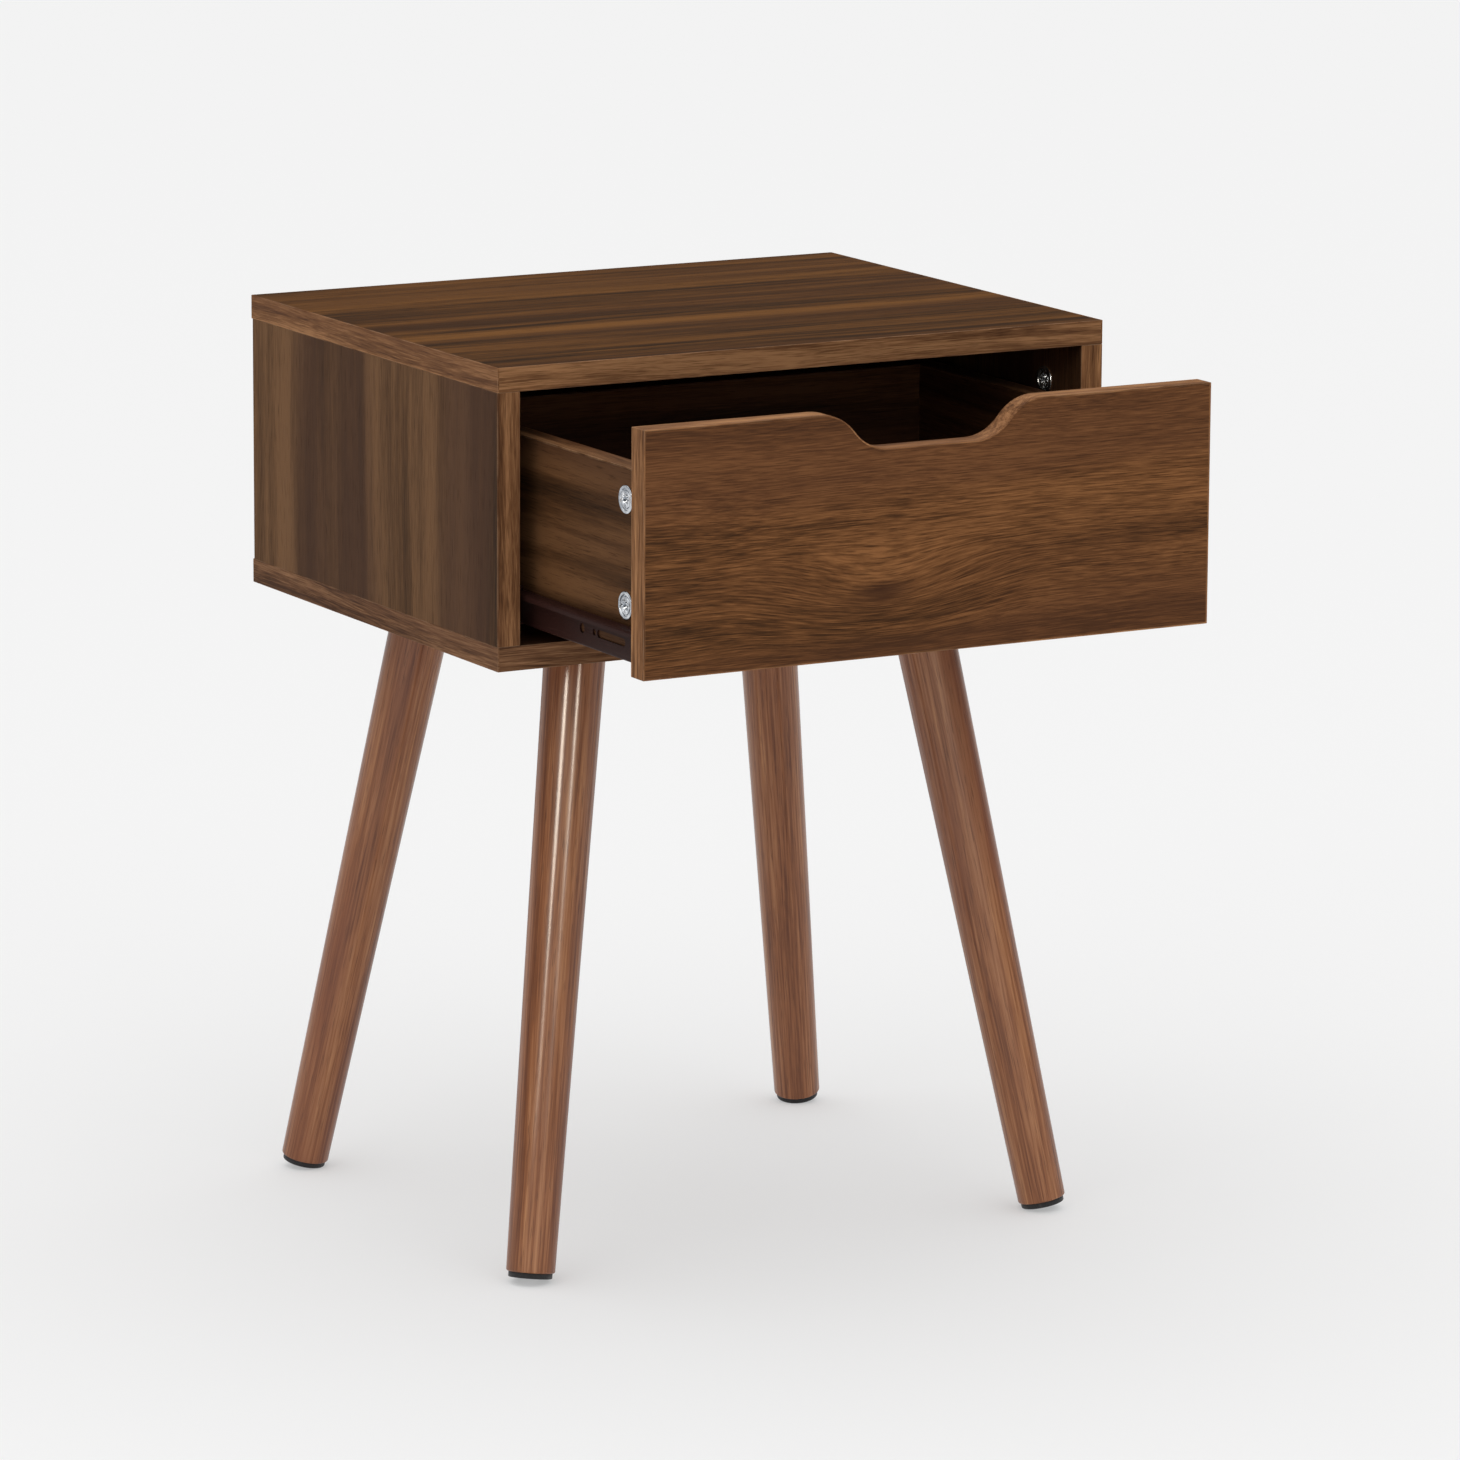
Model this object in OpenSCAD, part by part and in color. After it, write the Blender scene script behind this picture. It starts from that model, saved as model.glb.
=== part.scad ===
// Nightstand: a banded board case on four splayed legs, with one inset drawer
// that runs on a pair of roller slides. Millimetres, +Z up.
// The origin is on the floor, under the middle of the case. The front faces -Y.

/* [Case] */
// Width of the case across the front
case_w = 420; // [340:5:600]
// Depth of the case, front edge to back edge
case_d = 335; // [270:5:450]
// Height of the case, underside to top
case_h = 183; // [150:1:280]
// Height of the whole nightstand above the floor
total_h = 565; // [450:5:700]
// Thickness of the case boards
board_t = 15; // [12:0.5:20]
// How far the side panels stop short of the back edge
side_setback = 2; // [0:0.5:8]
// Thickness of the strips glued on the board edges
edging_t = 1; // [0.5:0.1:2]
// Thickness of the back panel
back_t = 3; // [2.5:0.5:6]
// From the back edge of the side panels to the back panel
back_inset = 8; // [5:1:16]
// Depth of the grooves that hold the thin panels
groove_d = 5; // [3:0.5:6]

/* [Drawer] */
// How far the drawer stands open
drawer_open = 150; // [0:5:150]
// Thickness of the drawer front
front_t = 15; // [12:0.5:20]
// Gap between the drawer front and each side panel
front_gap = 1.75; // [1:0.25:4]
// Gap above the drawer front
front_gap_top = 1.5; // [1:0.25:4]
// Gap below the drawer front
front_gap_low = 4.5; // [2:0.5:7]
// Thickness of the drawer sides and back
box_t = 15; // [12:0.5:18]
// How far the drawer sides stop below the top of the front
box_drop = 28.5; // [24:0.5:45]
// Thickness of the drawer bottom
bottom_t = 4; // [3:0.5:6]
// Height of the drawer bottom above the lower edge of the sides
bottom_lift = 8; // [6:1:14]

/* [Finger cut-out] */
// Length of the straight floor of the cut-out
grip_flat = 59; // [30:1:120]
// Width of each curved end of the cut-out
grip_run = 47; // [35:1:60]
// Depth of the cut-out below the top edge
grip_depth = 23; // [12:1:28]

/* [Slides] */
// Space between a drawer side and the side panel beside it
slide_space = 13; // [12.5:0.1:16]
// Thickness of the sheet that the rails are bent from
rail_t = 1.2; // [1:0.1:1.5]
// Height of the drawer rails above the floor of the case
rail_lift = 8.5; // [8:0.5:16]
// Height of a drawer rail
drawer_rail_h = 21.5; // [20:0.5:28]
// Radius of the rollers that the drawer carries
roller_r = 10; // [8:0.5:12]
// Radius of the rivets that the rollers turn on
rivet_r = 2.5; // [2:0.1:3]

/* [Legs] */
// From the side of the case to the middle of a leg's top
leg_inset_x = 89; // [50:1:120]
// From the front or back of the case to the middle of a leg's top
leg_inset_y = 68.5; // [45:0.5:100]
// Radius of a leg where it meets the case
leg_top_r = 19; // [15:0.5:26]
// Radius of a leg at its foot
leg_foot_r = 15; // [12:0.5:20]
// Lean of each leg away from upright, in degrees
leg_tilt = 12.5; // [0:0.5:18]
// Direction of the lean, in degrees from the width towards the depth
leg_turn = 43; // [0:1:90]
// Thickness of the pad under each leg
pad_t = 3.5; // [2:0.5:8]
// Radius of the pad under each leg
pad_r = 13.5; // [9:0.5:15]

/* [Fittings] */
// Radius of the cam nuts
cam_r = 7.5; // [6:0.5:7.5]
// From the joint to the middle of a cam nut
cam_setback = 27; // [20:0.5:34]
// Radius of the wooden dowels
dowel_r = 4; // [3:0.5:4]
// From the front and back edges of the side panels to their fittings
fitting_inset = 43; // [38:1:60]
// Radius of the threaded rod that holds each leg
leg_bolt_r = 4; // [3:0.5:5]

/* [Hidden] */
$fn = 48;

eps = 1;               // how far a cutter passes the face it opens
left = -1;
right = 1;
front = -1;
back = 1;

// Case levels and planes
half_w = case_w / 2;
half_d = case_d / 2;
inner_x = half_w - board_t;
underside_z = total_h - case_h;
floor_z = underside_z + board_t;
ceiling_z = total_h - board_t;
side_back_y = half_d - side_setback;
back_y = side_back_y - back_inset - back_t;
groove_play = 0.5;     // the thin panels stop this far short of the groove floors

// Slides: stock lengths step by 50, and the longest that fits is used
rail_setback = 2.5;    // from the closed drawer front to the case rails
rail_end_gap = 1;      // least gap between the case rails and the back panel
closed_box_y = -half_d + front_t;
slide_room = back_y - closed_box_y - rail_setback - rail_end_gap;
slide_len = 50 * floor(slide_room / 50);
full_travel = 0.75 * slide_len;
case_rail_y = closed_box_y + rail_setback;
roll_gap = 0.3;        // between a roller and what it runs along
lip_gap = 1;           // between the drawer rail's lip and the case rail above it
tip_gap = 0.8;         // between the case rail's flanges and the drawer rail
lip_edge = 3.7;        // depth of the turned-down edge of the lip
drawer_rail_z = floor_z + rail_lift;
lip_z = drawer_rail_z + drawer_rail_h;
channel_top = lip_z + lip_gap;
channel_floor = channel_top - 2 * (roller_r + roll_gap);
channel_mid = (channel_top + channel_floor) / 2;
case_roller_lift = 1.1; // between a case roller and the rail's floor under it
case_roller_r = (lip_z - rail_t - channel_floor - roll_gap - case_roller_lift) / 2;
case_roller_z = channel_floor + case_roller_lift + case_roller_r;
case_roller_inset = 12; // from the front end of a case rail to its roller
case_roller_y = case_rail_y + case_roller_inset;
closed_roller_y = case_rail_y + slide_len - rail_t - roll_gap - roller_r;
stop_r = 2;            // ridge across the case rail that stops the open drawer
stop_reach = sqrt(pow(roller_r + stop_r, 2) - pow(roller_r + roll_gap, 2));
stop_y = closed_roller_y - full_travel - stop_reach - roll_gap;
rail_screw_inset = 35; // from each end of a rail to its end screws

// Stations across a slide, measured from the side panel towards the drawer
web_s = slide_space - rail_t;
flange_w = web_s - tip_gap;
lip_s = 4;
side_gap = 0.5;        // between a moving piece and what it passes sideways
end_play = 0.2;        // endways clearance of the rollers
head_t = 0.9;          // thickness of the rivet heads
case_roller_s = lip_s + rail_t + side_gap + end_play;
case_roller_w = web_s - side_gap - head_t - end_play - case_roller_s;
drawer_roller_s = 5;
drawer_roller_w = web_s - side_gap - head_t - drawer_roller_s;
head_r = rivet_r + 1.7;
collar_r = rivet_r + 1.5;
rivet_play = 0.08;     // radial running clearance of the rollers
rim_w = 1.5;           // width of a roller's rim
hub_w = 1.6;           // wall of a roller's hub
dish_d = 0.6;          // depth of the ring between rim and hub, on each face

// Drawer, in its open position
front_w = 2 * (inner_x - front_gap);
front_z = floor_z + front_gap_low;
front_h = ceiling_z - front_gap_top - front_z;
box_y = closed_box_y - drawer_open;
box_d = slide_len - 2;
box_end = box_y + box_d;
box_x = inner_x - slide_space;
box_z = drawer_rail_z + rail_t;
box_top = front_z + front_h - box_drop;
box_h = box_top - box_z;
bottom_z = box_z + bottom_lift;
drawer_roller_y = closed_roller_y - drawer_open;

// Finger cut-out: each end is two equal arcs that meet halfway down
grip_r = (pow(grip_run, 2) + pow(grip_depth, 2)) / (4 * grip_depth);
grip_sine = grip_run / (2 * grip_r);

// Fittings
panel_bite = 10;       // how deep bolts and dowels go into a panel's face
side_bite = 20;        // how deep dowels go into a board's edge
cam_rim_r = cam_r + 1;
cam_rim_t = 0.8;
cam_floor = 2.5;       // wood left behind a cam nut
cam_shaft_r = 2.5;
cam_head_r = 3;
cam_head_t = 3;
cam_pocket_r = 3.5;
cam_bore_r = 4;
cross_len = 8.4;       // cross recess in a cam nut
cross_w = 1.6;
cross_depth = 2;
cam_low = 31.5;        // from the lower edge of a drawer side to its lower cam nut
cam_high = 19;         // from the upper edge of a drawer side to its upper cam nut
cam_heights = [box_z + cam_low, box_top - cam_high];
dowel_height = (cam_heights[0] + cam_heights[1]) / 2;
dowel_step = 22;       // from a case fitting to the dowel beside it
long_screw_r = 3.5;
long_thread_r = 2.5;
long_thread_l = 34;
long_head_r = 5;
long_head_t = 3;
key_r = 2.3;           // hexagon socket in a long screw, across its corners
key_depth = 2;
screw_r = 1.75;
screw_l = 12;
screw_head_r = 3.2;
screw_head_t = 1.8;
screw_cross_l = 4.2;
screw_cross_w = 0.8;
screw_cross_d = 1.1;
back_screw_r = 2;
back_screw_l = 40;
back_screw_head_r = 3.8;
back_screw_head_t = 2.2;
bottom_screw_x = 110;  // from the middle of the drawer to its outer bottom screws
back_screw_edge = 16;  // from the drawer's upper edge and bottom to the back screws

// Legs
leg_x = half_w - leg_inset_x;
leg_y = half_d - leg_inset_y;
foot_z = pad_t * cos(leg_tilt) + pad_r * sin(leg_tilt);
leg_run = underside_z - foot_z;
leg_l = leg_run / cos(leg_tilt);
leg_out = leg_run * tan(leg_tilt);
leg_taper = (leg_top_r - leg_foot_r) / leg_l;
leg_spare = leg_top_r * tan(leg_tilt) + 4;
leg_bolt_bite = 30;
nut_flange_r = 10;
nut_flange_t = 1.5;
nut_barrel_r = leg_bolt_r + 1.25;
nail_r = 1.25;
nail_head_r = 4;
nail_head_t = 1;
nail_l = 16;
nail_sink = 1;         // how far the nail head sits above the pad's face

// Holes and edges of the drawer rails, measured from the drawer front
web_hole_y = 79;       // from the drawer front to the round hole in the rail
web_hole_r = 3;
pilot_y = 64;
pilot_r = 2;
slot_y = [28, 58];
slot_r = 2.4;
rail_front_gap = 0.5;
lip_end_gap = 1.5;     // between the end of the lip and the roller behind it
sole_inset = 3;        // how far the rail's sole stops short of the drawer side's inner face

wood = [0.40, 0.25, 0.16];
wood_light = [0.53, 0.36, 0.23];
leg_red = [0.43, 0.19, 0.11];
dark_steel = [0.17, 0.12, 0.11];
zinc = [0.75, 0.76, 0.78];
nylon = [0.85, 0.84, 0.80];
beech = [0.80, 0.65, 0.45];
black = [0.07, 0.07, 0.07];

// ---- placing helpers ----

// Draws its children on one side of the case. They are laid out for the left
// side, with x counted from the side panel's inner face towards the drawer.
module on_side(side) {
  mirror([side == right ? 1 : 0, 0, 0])
    translate([-inner_x, 0, 0])
      children();
}

module both_sides() {
  for (side = [left, right]) on_side(side) children();
}

// Repeats its children at the front and back fittings of the side panels
module at_fittings(shift = 0) {
  for (end = [front, back])
    translate([-board_t / 2, end * (half_d - fitting_inset - shift), 0])
      children();
}

module along_y(y, s, z) {
  translate([s, y, z]) rotate([-90, 0, 0]) children();
}

// Turns children from +Z to +X, away from the side panel
module across(s, y, z) {
  translate([s, y, z]) rotate([0, 90, 0]) children();
}

// Draws its children, which are laid out for the front right leg, at a corner
module at_corner(side, end) {
  mirror([side == left ? 1 : 0, 0, 0])
    mirror([0, end == back ? 1 : 0, 0])
      children();
}

module at_corners() {
  for (side = [left, right], end = [front, back]) at_corner(side, end) children();
}

// Puts children on the foot of the front right leg, with +Z running up its axis
module up_leg() {
  translate([leg_x + leg_out * cos(leg_turn), -leg_y - leg_out * sin(leg_turn), foot_z])
    rotate([0, leg_tilt, 180 - leg_turn])
      children();
}

// Puts children over the top of the front right leg, level with the underside
module on_leg() {
  translate([leg_x, -leg_y, underside_z]) children();
}

// ---- fittings ----

module cross_recess(length, width, depth) {
  for (turn = [45, 135])
    rotate(turn) translate([-length / 2, -width / 2, -depth]) cube([length, width, depth + eps]);
}

// Face at z = 0 looking up, pocket open towards +Y
module cam_nut(board) {
  difference() {
    union() {
      translate([0, 0, cam_floor - board]) cylinder(r = cam_r, h = board - cam_floor);
      cylinder(r = cam_rim_r, h = cam_rim_t);
    }
    translate([0, 0, cam_rim_t]) cross_recess(cross_len, cross_w, cross_depth);
    translate([0, -cam_pocket_r, -board / 2])
      rotate([-90, 0, 0]) cylinder(r = cam_pocket_r, h = cam_r + cam_pocket_r + eps);
  }
}

module cam_bore(board) {
  translate([0, 0, cam_floor - board]) cylinder(r = cam_r, h = board - cam_floor + eps);
}

// Joint face at z = 0, thread below it, head above it
module cam_bolt() {
  translate([0, 0, -panel_bite]) cylinder(r = cam_head_r, h = panel_bite);
  cylinder(r = cam_shaft_r, h = cam_setback - cam_head_t + 1);
  translate([0, 0, cam_setback - cam_head_t + 1]) cylinder(r = cam_head_r, h = cam_head_t);
}

module cam_bolt_bore() {
  translate([0, 0, -eps]) cylinder(r = cam_bore_r, h = cam_setback + eps);
}

module bolt_socket() {
  translate([0, 0, -eps]) cylinder(r = cam_head_r, h = panel_bite + eps);
}

// Joint face at z = 0, the longer end above it
module dowel() {
  translate([0, 0, -panel_bite]) cylinder(r = dowel_r, h = panel_bite + side_bite);
}

// Pan head on z = 0 and above, shank below
module short_screw(shank_l) {
  difference() {
    union() {
      translate([0, 0, -shank_l]) cylinder(r = screw_r, h = shank_l);
      cylinder(r = screw_head_r, h = screw_head_t);
    }
    translate([0, 0, screw_head_t]) cross_recess(screw_cross_l, screw_cross_w, screw_cross_d);
  }
}

// Screw between a drawer side and the back: its flush head has its top at z = 0
module back_screw_shape() {
  translate([0, 0, -back_screw_l]) cylinder(r = back_screw_r, h = back_screw_l);
  translate([0, 0, -back_screw_head_t])
    cylinder(r1 = back_screw_r, r2 = back_screw_head_r, h = back_screw_head_t);
}

module back_screw() {
  difference() {
    back_screw_shape();
    cross_recess(screw_cross_l, screw_cross_w, screw_cross_d);
  }
}

// Stepped screw: the head lies in the panel's underside at z = 0
module long_screw_shape() {
  cylinder(r = long_screw_r, h = board_t);
  cylinder(r = long_head_r, h = long_head_t);
  translate([0, 0, board_t]) cylinder(r = long_thread_r, h = long_thread_l);
}

module long_screw() {
  difference() {
    long_screw_shape();
    translate([0, 0, -eps]) cylinder(r = key_r, h = key_depth + eps, $fn = 6);
  }
}

// ---- case ----

module edge_strips(z) {
  inside_d = case_d - 2 * edging_t;
  for (end = [front, back])
    translate([-half_w, end == front ? -half_d : half_d - edging_t, z])
      cube([case_w, edging_t, board_t]);
  for (side = [left, right])
    translate([side == left ? -half_w : half_w - edging_t, -inside_d / 2, z])
      cube([edging_t, inside_d, board_t]);
}

module panel_core(z) {
  core_w = case_w - 2 * edging_t;
  core_d = case_d - 2 * edging_t;
  translate([-core_w / 2, -core_d / 2, z]) cube([core_w, core_d, board_t]);
}

module back_groove(z) {
  groove_w = 2 * (inner_x + groove_d);
  translate([-groove_w / 2, back_y, z]) cube([groove_w, back_t, groove_d + eps]);
}

module top_panel() {
  color(wood) difference() {
    panel_core(ceiling_z);
    back_groove(ceiling_z - eps);
    both_sides() {
      at_fittings() translate([0, 0, ceiling_z]) bolt_socket();
      at_fittings(dowel_step) translate([0, 0, ceiling_z]) rotate([180, 0, 0]) dowel();
    }
  }
}

module top_panel_edging() {
  color(wood_light) edge_strips(ceiling_z);
}

module bottom_panel() {
  color(wood) difference() {
    panel_core(underside_z);
    back_groove(floor_z - groove_d);
    both_sides() {
      at_fittings() translate([0, 0, underside_z]) long_screw_shape();
      at_fittings(dowel_step) translate([0, 0, floor_z]) dowel();
    }
    at_corners() on_leg() translate([0, 0, -eps]) cylinder(r = nut_barrel_r, h = board_t + 2 * eps);
  }
}

module bottom_panel_edging() {
  color(wood_light) edge_strips(underside_z);
}

module side_panel(side) {
  color(wood) on_side(side) difference() {
    translate([-board_t, -half_d + edging_t, floor_z])
      cube([board_t, side_back_y + half_d - edging_t, ceiling_z - floor_z]);
    translate([-groove_d, back_y, floor_z - eps])
      cube([groove_d + eps, back_t, ceiling_z - floor_z + 2 * eps]);
    at_fittings() {
      translate([0, 0, ceiling_z]) rotate([180, 0, 0]) cam_bolt_bore();
      translate([board_t / 2, 0, ceiling_z - cam_setback]) rotate([0, 90, 0]) cam_bore(board_t);
      translate([0, 0, underside_z]) long_screw_shape();
    }
    at_fittings(dowel_step) {
      translate([0, 0, ceiling_z]) rotate([180, 0, 0]) dowel();
      translate([0, 0, floor_z]) dowel();
    }
    rail_screw_stations() cylinder(r = screw_r, h = screw_l);
  }
}

module side_edging(side) {
  color(wood_light) on_side(side)
    translate([-board_t, -half_d, floor_z]) cube([board_t, edging_t, ceiling_z - floor_z]);
}

module back_panel() {
  panel_w = 2 * (inner_x + groove_d - groove_play);
  panel_z = floor_z - groove_d + groove_play;
  color(wood) translate([-panel_w / 2, back_y, panel_z])
    cube([panel_w, back_t, ceiling_z + groove_d - groove_play - panel_z]);
}

module case_cam_nuts() {
  color(zinc) both_sides() at_fittings()
    translate([board_t / 2, 0, ceiling_z - cam_setback]) rotate([90, 0, 90]) cam_nut(board_t);
}

module case_cam_bolts() {
  color(zinc) both_sides() at_fittings() translate([0, 0, ceiling_z]) rotate([180, 0, 0]) cam_bolt();
}

module case_dowels() {
  color(beech) both_sides() at_fittings(dowel_step) {
    translate([0, 0, ceiling_z]) rotate([180, 0, 0]) dowel();
    translate([0, 0, floor_z]) dowel();
  }
}

module case_screws() {
  color(zinc) both_sides() at_fittings() translate([0, 0, underside_z]) long_screw();
}

// ---- case rails ----

// A hole through sheet that lies on z = 0
module sheet_hole(radius) {
  translate([0, 0, -eps]) cylinder(r = radius, h = rail_t + 2 * eps);
}

// Screws of a case rail: children point into the side panel
module rail_screw_stations() {
  for (y = [rail_screw_inset, slide_len / 2, slide_len - rail_screw_inset])
    translate([0, case_rail_y + y, channel_mid]) rotate([0, -90, 0]) children();
}

module case_rail(side) {
  rail_z = channel_floor - rail_t;
  rail_h = channel_top + rail_t - rail_z;
  color(dark_steel) on_side(side) difference() {
    union() {
      translate([0, case_rail_y, rail_z]) cube([rail_t, slide_len, rail_h]);
      translate([0, case_rail_y, rail_z]) cube([flange_w, slide_len, rail_t]);
      translate([0, case_rail_y, channel_top]) cube([flange_w, slide_len, rail_t]);
      // bent ends: the back stop, and the ridge that stops the open drawer
      translate([0, case_rail_y + slide_len - rail_t, rail_z]) cube([flange_w, rail_t, rail_h]);
      intersection() {
        across(0, stop_y, channel_floor) cylinder(r = stop_r, h = flange_w);
        translate([0, stop_y - stop_r, rail_z]) cube([flange_w, 2 * stop_r, rail_h]);
      }
    }
    rail_screw_stations() translate([0, 0, -rail_t]) sheet_hole(screw_r);
    across(0, case_roller_y, case_roller_z) sheet_hole(rivet_r);
  }
}

module case_rail_screws() {
  color(zinc) both_sides() rail_screw_stations()
    translate([0, 0, -rail_t]) rotate([180, 0, 0]) short_screw(screw_l + rail_t);
}

module case_roller_rivets() {
  collar = case_roller_s - end_play;
  head_s = case_roller_s + case_roller_w + end_play;
  color(zinc) both_sides() {
    across(0, case_roller_y, case_roller_z) cylinder(r = rivet_r, h = head_s);
    across(rail_t, case_roller_y, case_roller_z) cylinder(r = collar_r, h = collar - rail_t);
    across(head_s, case_roller_y, case_roller_z) cylinder(r = head_r, h = head_t);
  }
}

// A roller with its bore and dished faces, from z = 0 up
module roller(radius, width) {
  color(nylon) difference() {
    cylinder(r = radius, h = width);
    translate([0, 0, -eps]) cylinder(r = rivet_r + rivet_play, h = width + 2 * eps);
    for (z = [-eps, width - dish_d])
      translate([0, 0, z]) difference() {
        cylinder(r = radius - rim_w, h = dish_d + eps);
        translate([0, 0, -eps]) cylinder(r = rivet_r + hub_w, h = dish_d + 3 * eps);
      }
  }
}

module case_roller(side) {
  on_side(side) across(case_roller_s, case_roller_y, case_roller_z)
    roller(case_roller_r, case_roller_w);
}

// ---- legs ----

module leg(side, end) {
  full_l = leg_l + leg_spare;
  color(leg_red) at_corner(side, end) difference() {
    // a quarter turn keeps the cone's seam off the corner of the slanted cut
    up_leg() rotate(90)
      cylinder(r1 = leg_foot_r, r2 = leg_foot_r + leg_taper * full_l, h = full_l, $fn = 96);
    on_leg() translate([-case_w, -case_d, 0]) cube([2 * case_w, 2 * case_d, 4 * leg_spare]);
    on_leg() translate([0, 0, -leg_bolt_bite]) cylinder(r = leg_bolt_r, h = leg_bolt_bite + eps);
    up_leg() translate([0, 0, -eps]) cylinder(r = nail_r, h = nail_l + eps);
  }
}

module leg_nuts() {
  color(zinc) at_corners() on_leg() difference() {
    union() {
      translate([0, 0, nut_flange_t]) cylinder(r = nut_barrel_r, h = board_t - nut_flange_t);
      translate([0, 0, board_t]) cylinder(r = nut_flange_r, h = nut_flange_t);
    }
    cylinder(r = leg_bolt_r, h = board_t + nut_flange_t + eps);
  }
}

module leg_bolts() {
  color(zinc) at_corners() on_leg() translate([0, 0, -leg_bolt_bite])
    cylinder(r = leg_bolt_r, h = leg_bolt_bite + board_t + nut_flange_t);
}

module foot_pad(side, end) {
  color(black) at_corner(side, end) up_leg() difference() {
    translate([0, 0, -pad_t]) cylinder(r = pad_r, h = pad_t);
    translate([0, 0, -pad_t - eps]) cylinder(r = nail_r, h = pad_t + 2 * eps);
    translate([0, 0, -pad_t - eps]) cylinder(r = nail_head_r, h = nail_sink + nail_head_t + eps);
  }
}

module pad_nails() {
  head_z = nail_sink - pad_t;
  color(zinc) at_corners() up_leg() {
    translate([0, 0, head_z]) cylinder(r = nail_head_r, h = nail_head_t);
    translate([0, 0, head_z]) cylinder(r = nail_r, h = nail_l - head_z);
  }
}

// ---- drawer front ----

// The finger cut-out, with the top edge at y = 0, grown by a margin
module grip_shape(margin) {
  meet = grip_flat / 2 + (grip_r + margin) * grip_sine;
  floor_y = -grip_depth - margin;
  room = grip_depth + margin + eps;
  for (flip = [0, 1]) mirror([flip, 0]) {
    translate([0, floor_y]) square([grip_flat / 2, room]);
    intersection() {
      translate([grip_flat / 2, grip_r - grip_depth]) circle(r = grip_r + margin, $fn = 96);
      translate([grip_flat / 2, floor_y]) square([meet - grip_flat / 2, room]);
    }
    difference() {
      translate([meet, floor_y]) square([grip_flat / 2 + grip_run - meet, room]);
      translate([grip_flat / 2 + grip_run, -grip_r]) circle(r = grip_r - margin, $fn = 96);
    }
  }
}

module front_outline(margin) {
  difference() {
    translate([margin - front_w / 2, margin]) square([front_w - 2 * margin, front_h - 2 * margin]);
    translate([0, front_h]) grip_shape(margin);
  }
}

module stand_front() {
  translate([0, box_y, front_z]) rotate([90, 0, 0]) linear_extrude(front_t) children();
}

module drawer_front() {
  color(wood) difference() {
    stand_front() front_outline(edging_t);
    drawer_bottom_blank();
    both_sides() front_joint_stations() {
      translate([0, 0, -panel_bite]) cylinder(r = cam_head_r, h = panel_bite + eps);
      translate([0, 0, -panel_bite]) cylinder(r = dowel_r, h = panel_bite + eps);
    }
  }
}

module drawer_front_edging() {
  color(wood_light) stand_front() difference() {
    front_outline(0);
    front_outline(edging_t);
  }
}

// ---- drawer box ----

// Joints between the front and a drawer side: the first child goes to the
// cam bolts and the second to the dowel. Children point along +Y.
module front_joint_stations() {
  mid_s = slide_space + box_t / 2;
  for (z = cam_heights) along_y(box_y, mid_s, z) children(0);
  along_y(box_y, mid_s, dowel_height) children(1);
}

// Joints between a drawer side and the drawer back. Children point away
// from the side panel, starting on the drawer side's outer face.
module back_screw_stations() {
  for (z = [bottom_z + bottom_t + back_screw_edge, box_top - back_screw_edge])
    across(slide_space, box_end - box_t / 2, z) children();
}

module drawer_side(side) {
  color(wood) on_side(side) difference() {
    translate([slide_space, box_y, box_z]) cube([box_t, box_d, box_h - edging_t]);
    front_joint_stations() {
      cam_bolt_bore();
      cylinder(r = dowel_r, h = side_bite);
    }
    for (z = cam_heights)
      translate([slide_space, box_y + cam_setback, z]) rotate([0, -90, 0]) cam_bore(box_t);
    translate([slide_space + box_t - groove_d, box_y - eps, bottom_z])
      cube([groove_d + eps, box_d + 2 * eps, bottom_t]);
    back_screw_stations() rotate([180, 0, 0]) back_screw_shape();
    across(slide_space + box_t - panel_bite, box_end - box_t / 2, dowel_height)
      cylinder(r = dowel_r, h = panel_bite + eps);
    drawer_rail_screw_stations() translate([0, 0, -screw_l]) cylinder(r = screw_r, h = screw_l);
  }
}

module drawer_back() {
  back_w = 2 * (box_x - box_t);
  back_z = bottom_z + bottom_t;
  color(wood) difference() {
    translate([-back_w / 2, box_end - box_t, back_z])
      cube([back_w, box_t, box_top - edging_t - back_z]);
    both_sides() {
      back_screw_stations() rotate([180, 0, 0]) back_screw_shape();
      across(slide_space + box_t - panel_bite, box_end - box_t / 2, dowel_height)
        cylinder(r = dowel_r, h = panel_bite + side_bite);
    }
    drawer_bottom_screw_stations() short_screw_hole();
  }
}

module drawer_box_edging() {
  color(wood_light) {
    both_sides() translate([slide_space, box_y, box_top - edging_t]) cube([box_t, box_d, edging_t]);
    translate([box_t - box_x, box_end - box_t, box_top - edging_t])
      cube([2 * (box_x - box_t), box_t, edging_t]);
  }
}

module drawer_bottom_blank() {
  blank_w = 2 * (box_x - box_t + groove_d);
  translate([-blank_w / 2, box_y - groove_d, bottom_z]) cube([blank_w, box_d + groove_d, bottom_t]);
}

module drawer_bottom() {
  tight_w = 2 * (box_x - box_t + groove_d - groove_play);
  color(wood) difference() {
    translate([-tight_w / 2, box_y - groove_d + groove_play, bottom_z])
      cube([tight_w, box_d + groove_d - groove_play, bottom_t]);
    drawer_bottom_screw_stations() short_screw_hole();
  }
}

// A hole for a screw that goes up through the drawer bottom, from z = 0 down
module short_screw_hole() {
  translate([0, 0, -bottom_t - screw_l]) cylinder(r = screw_r, h = bottom_t + screw_l + eps);
}

// Children point down from the underside of the drawer bottom
module drawer_bottom_screw_stations() {
  for (x = [-bottom_screw_x, 0, bottom_screw_x])
    translate([x, box_end - box_t / 2, bottom_z]) rotate([180, 0, 0]) children();
}

module drawer_bottom_screws() {
  color(zinc) drawer_bottom_screw_stations() short_screw(screw_l + bottom_t);
}

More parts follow.
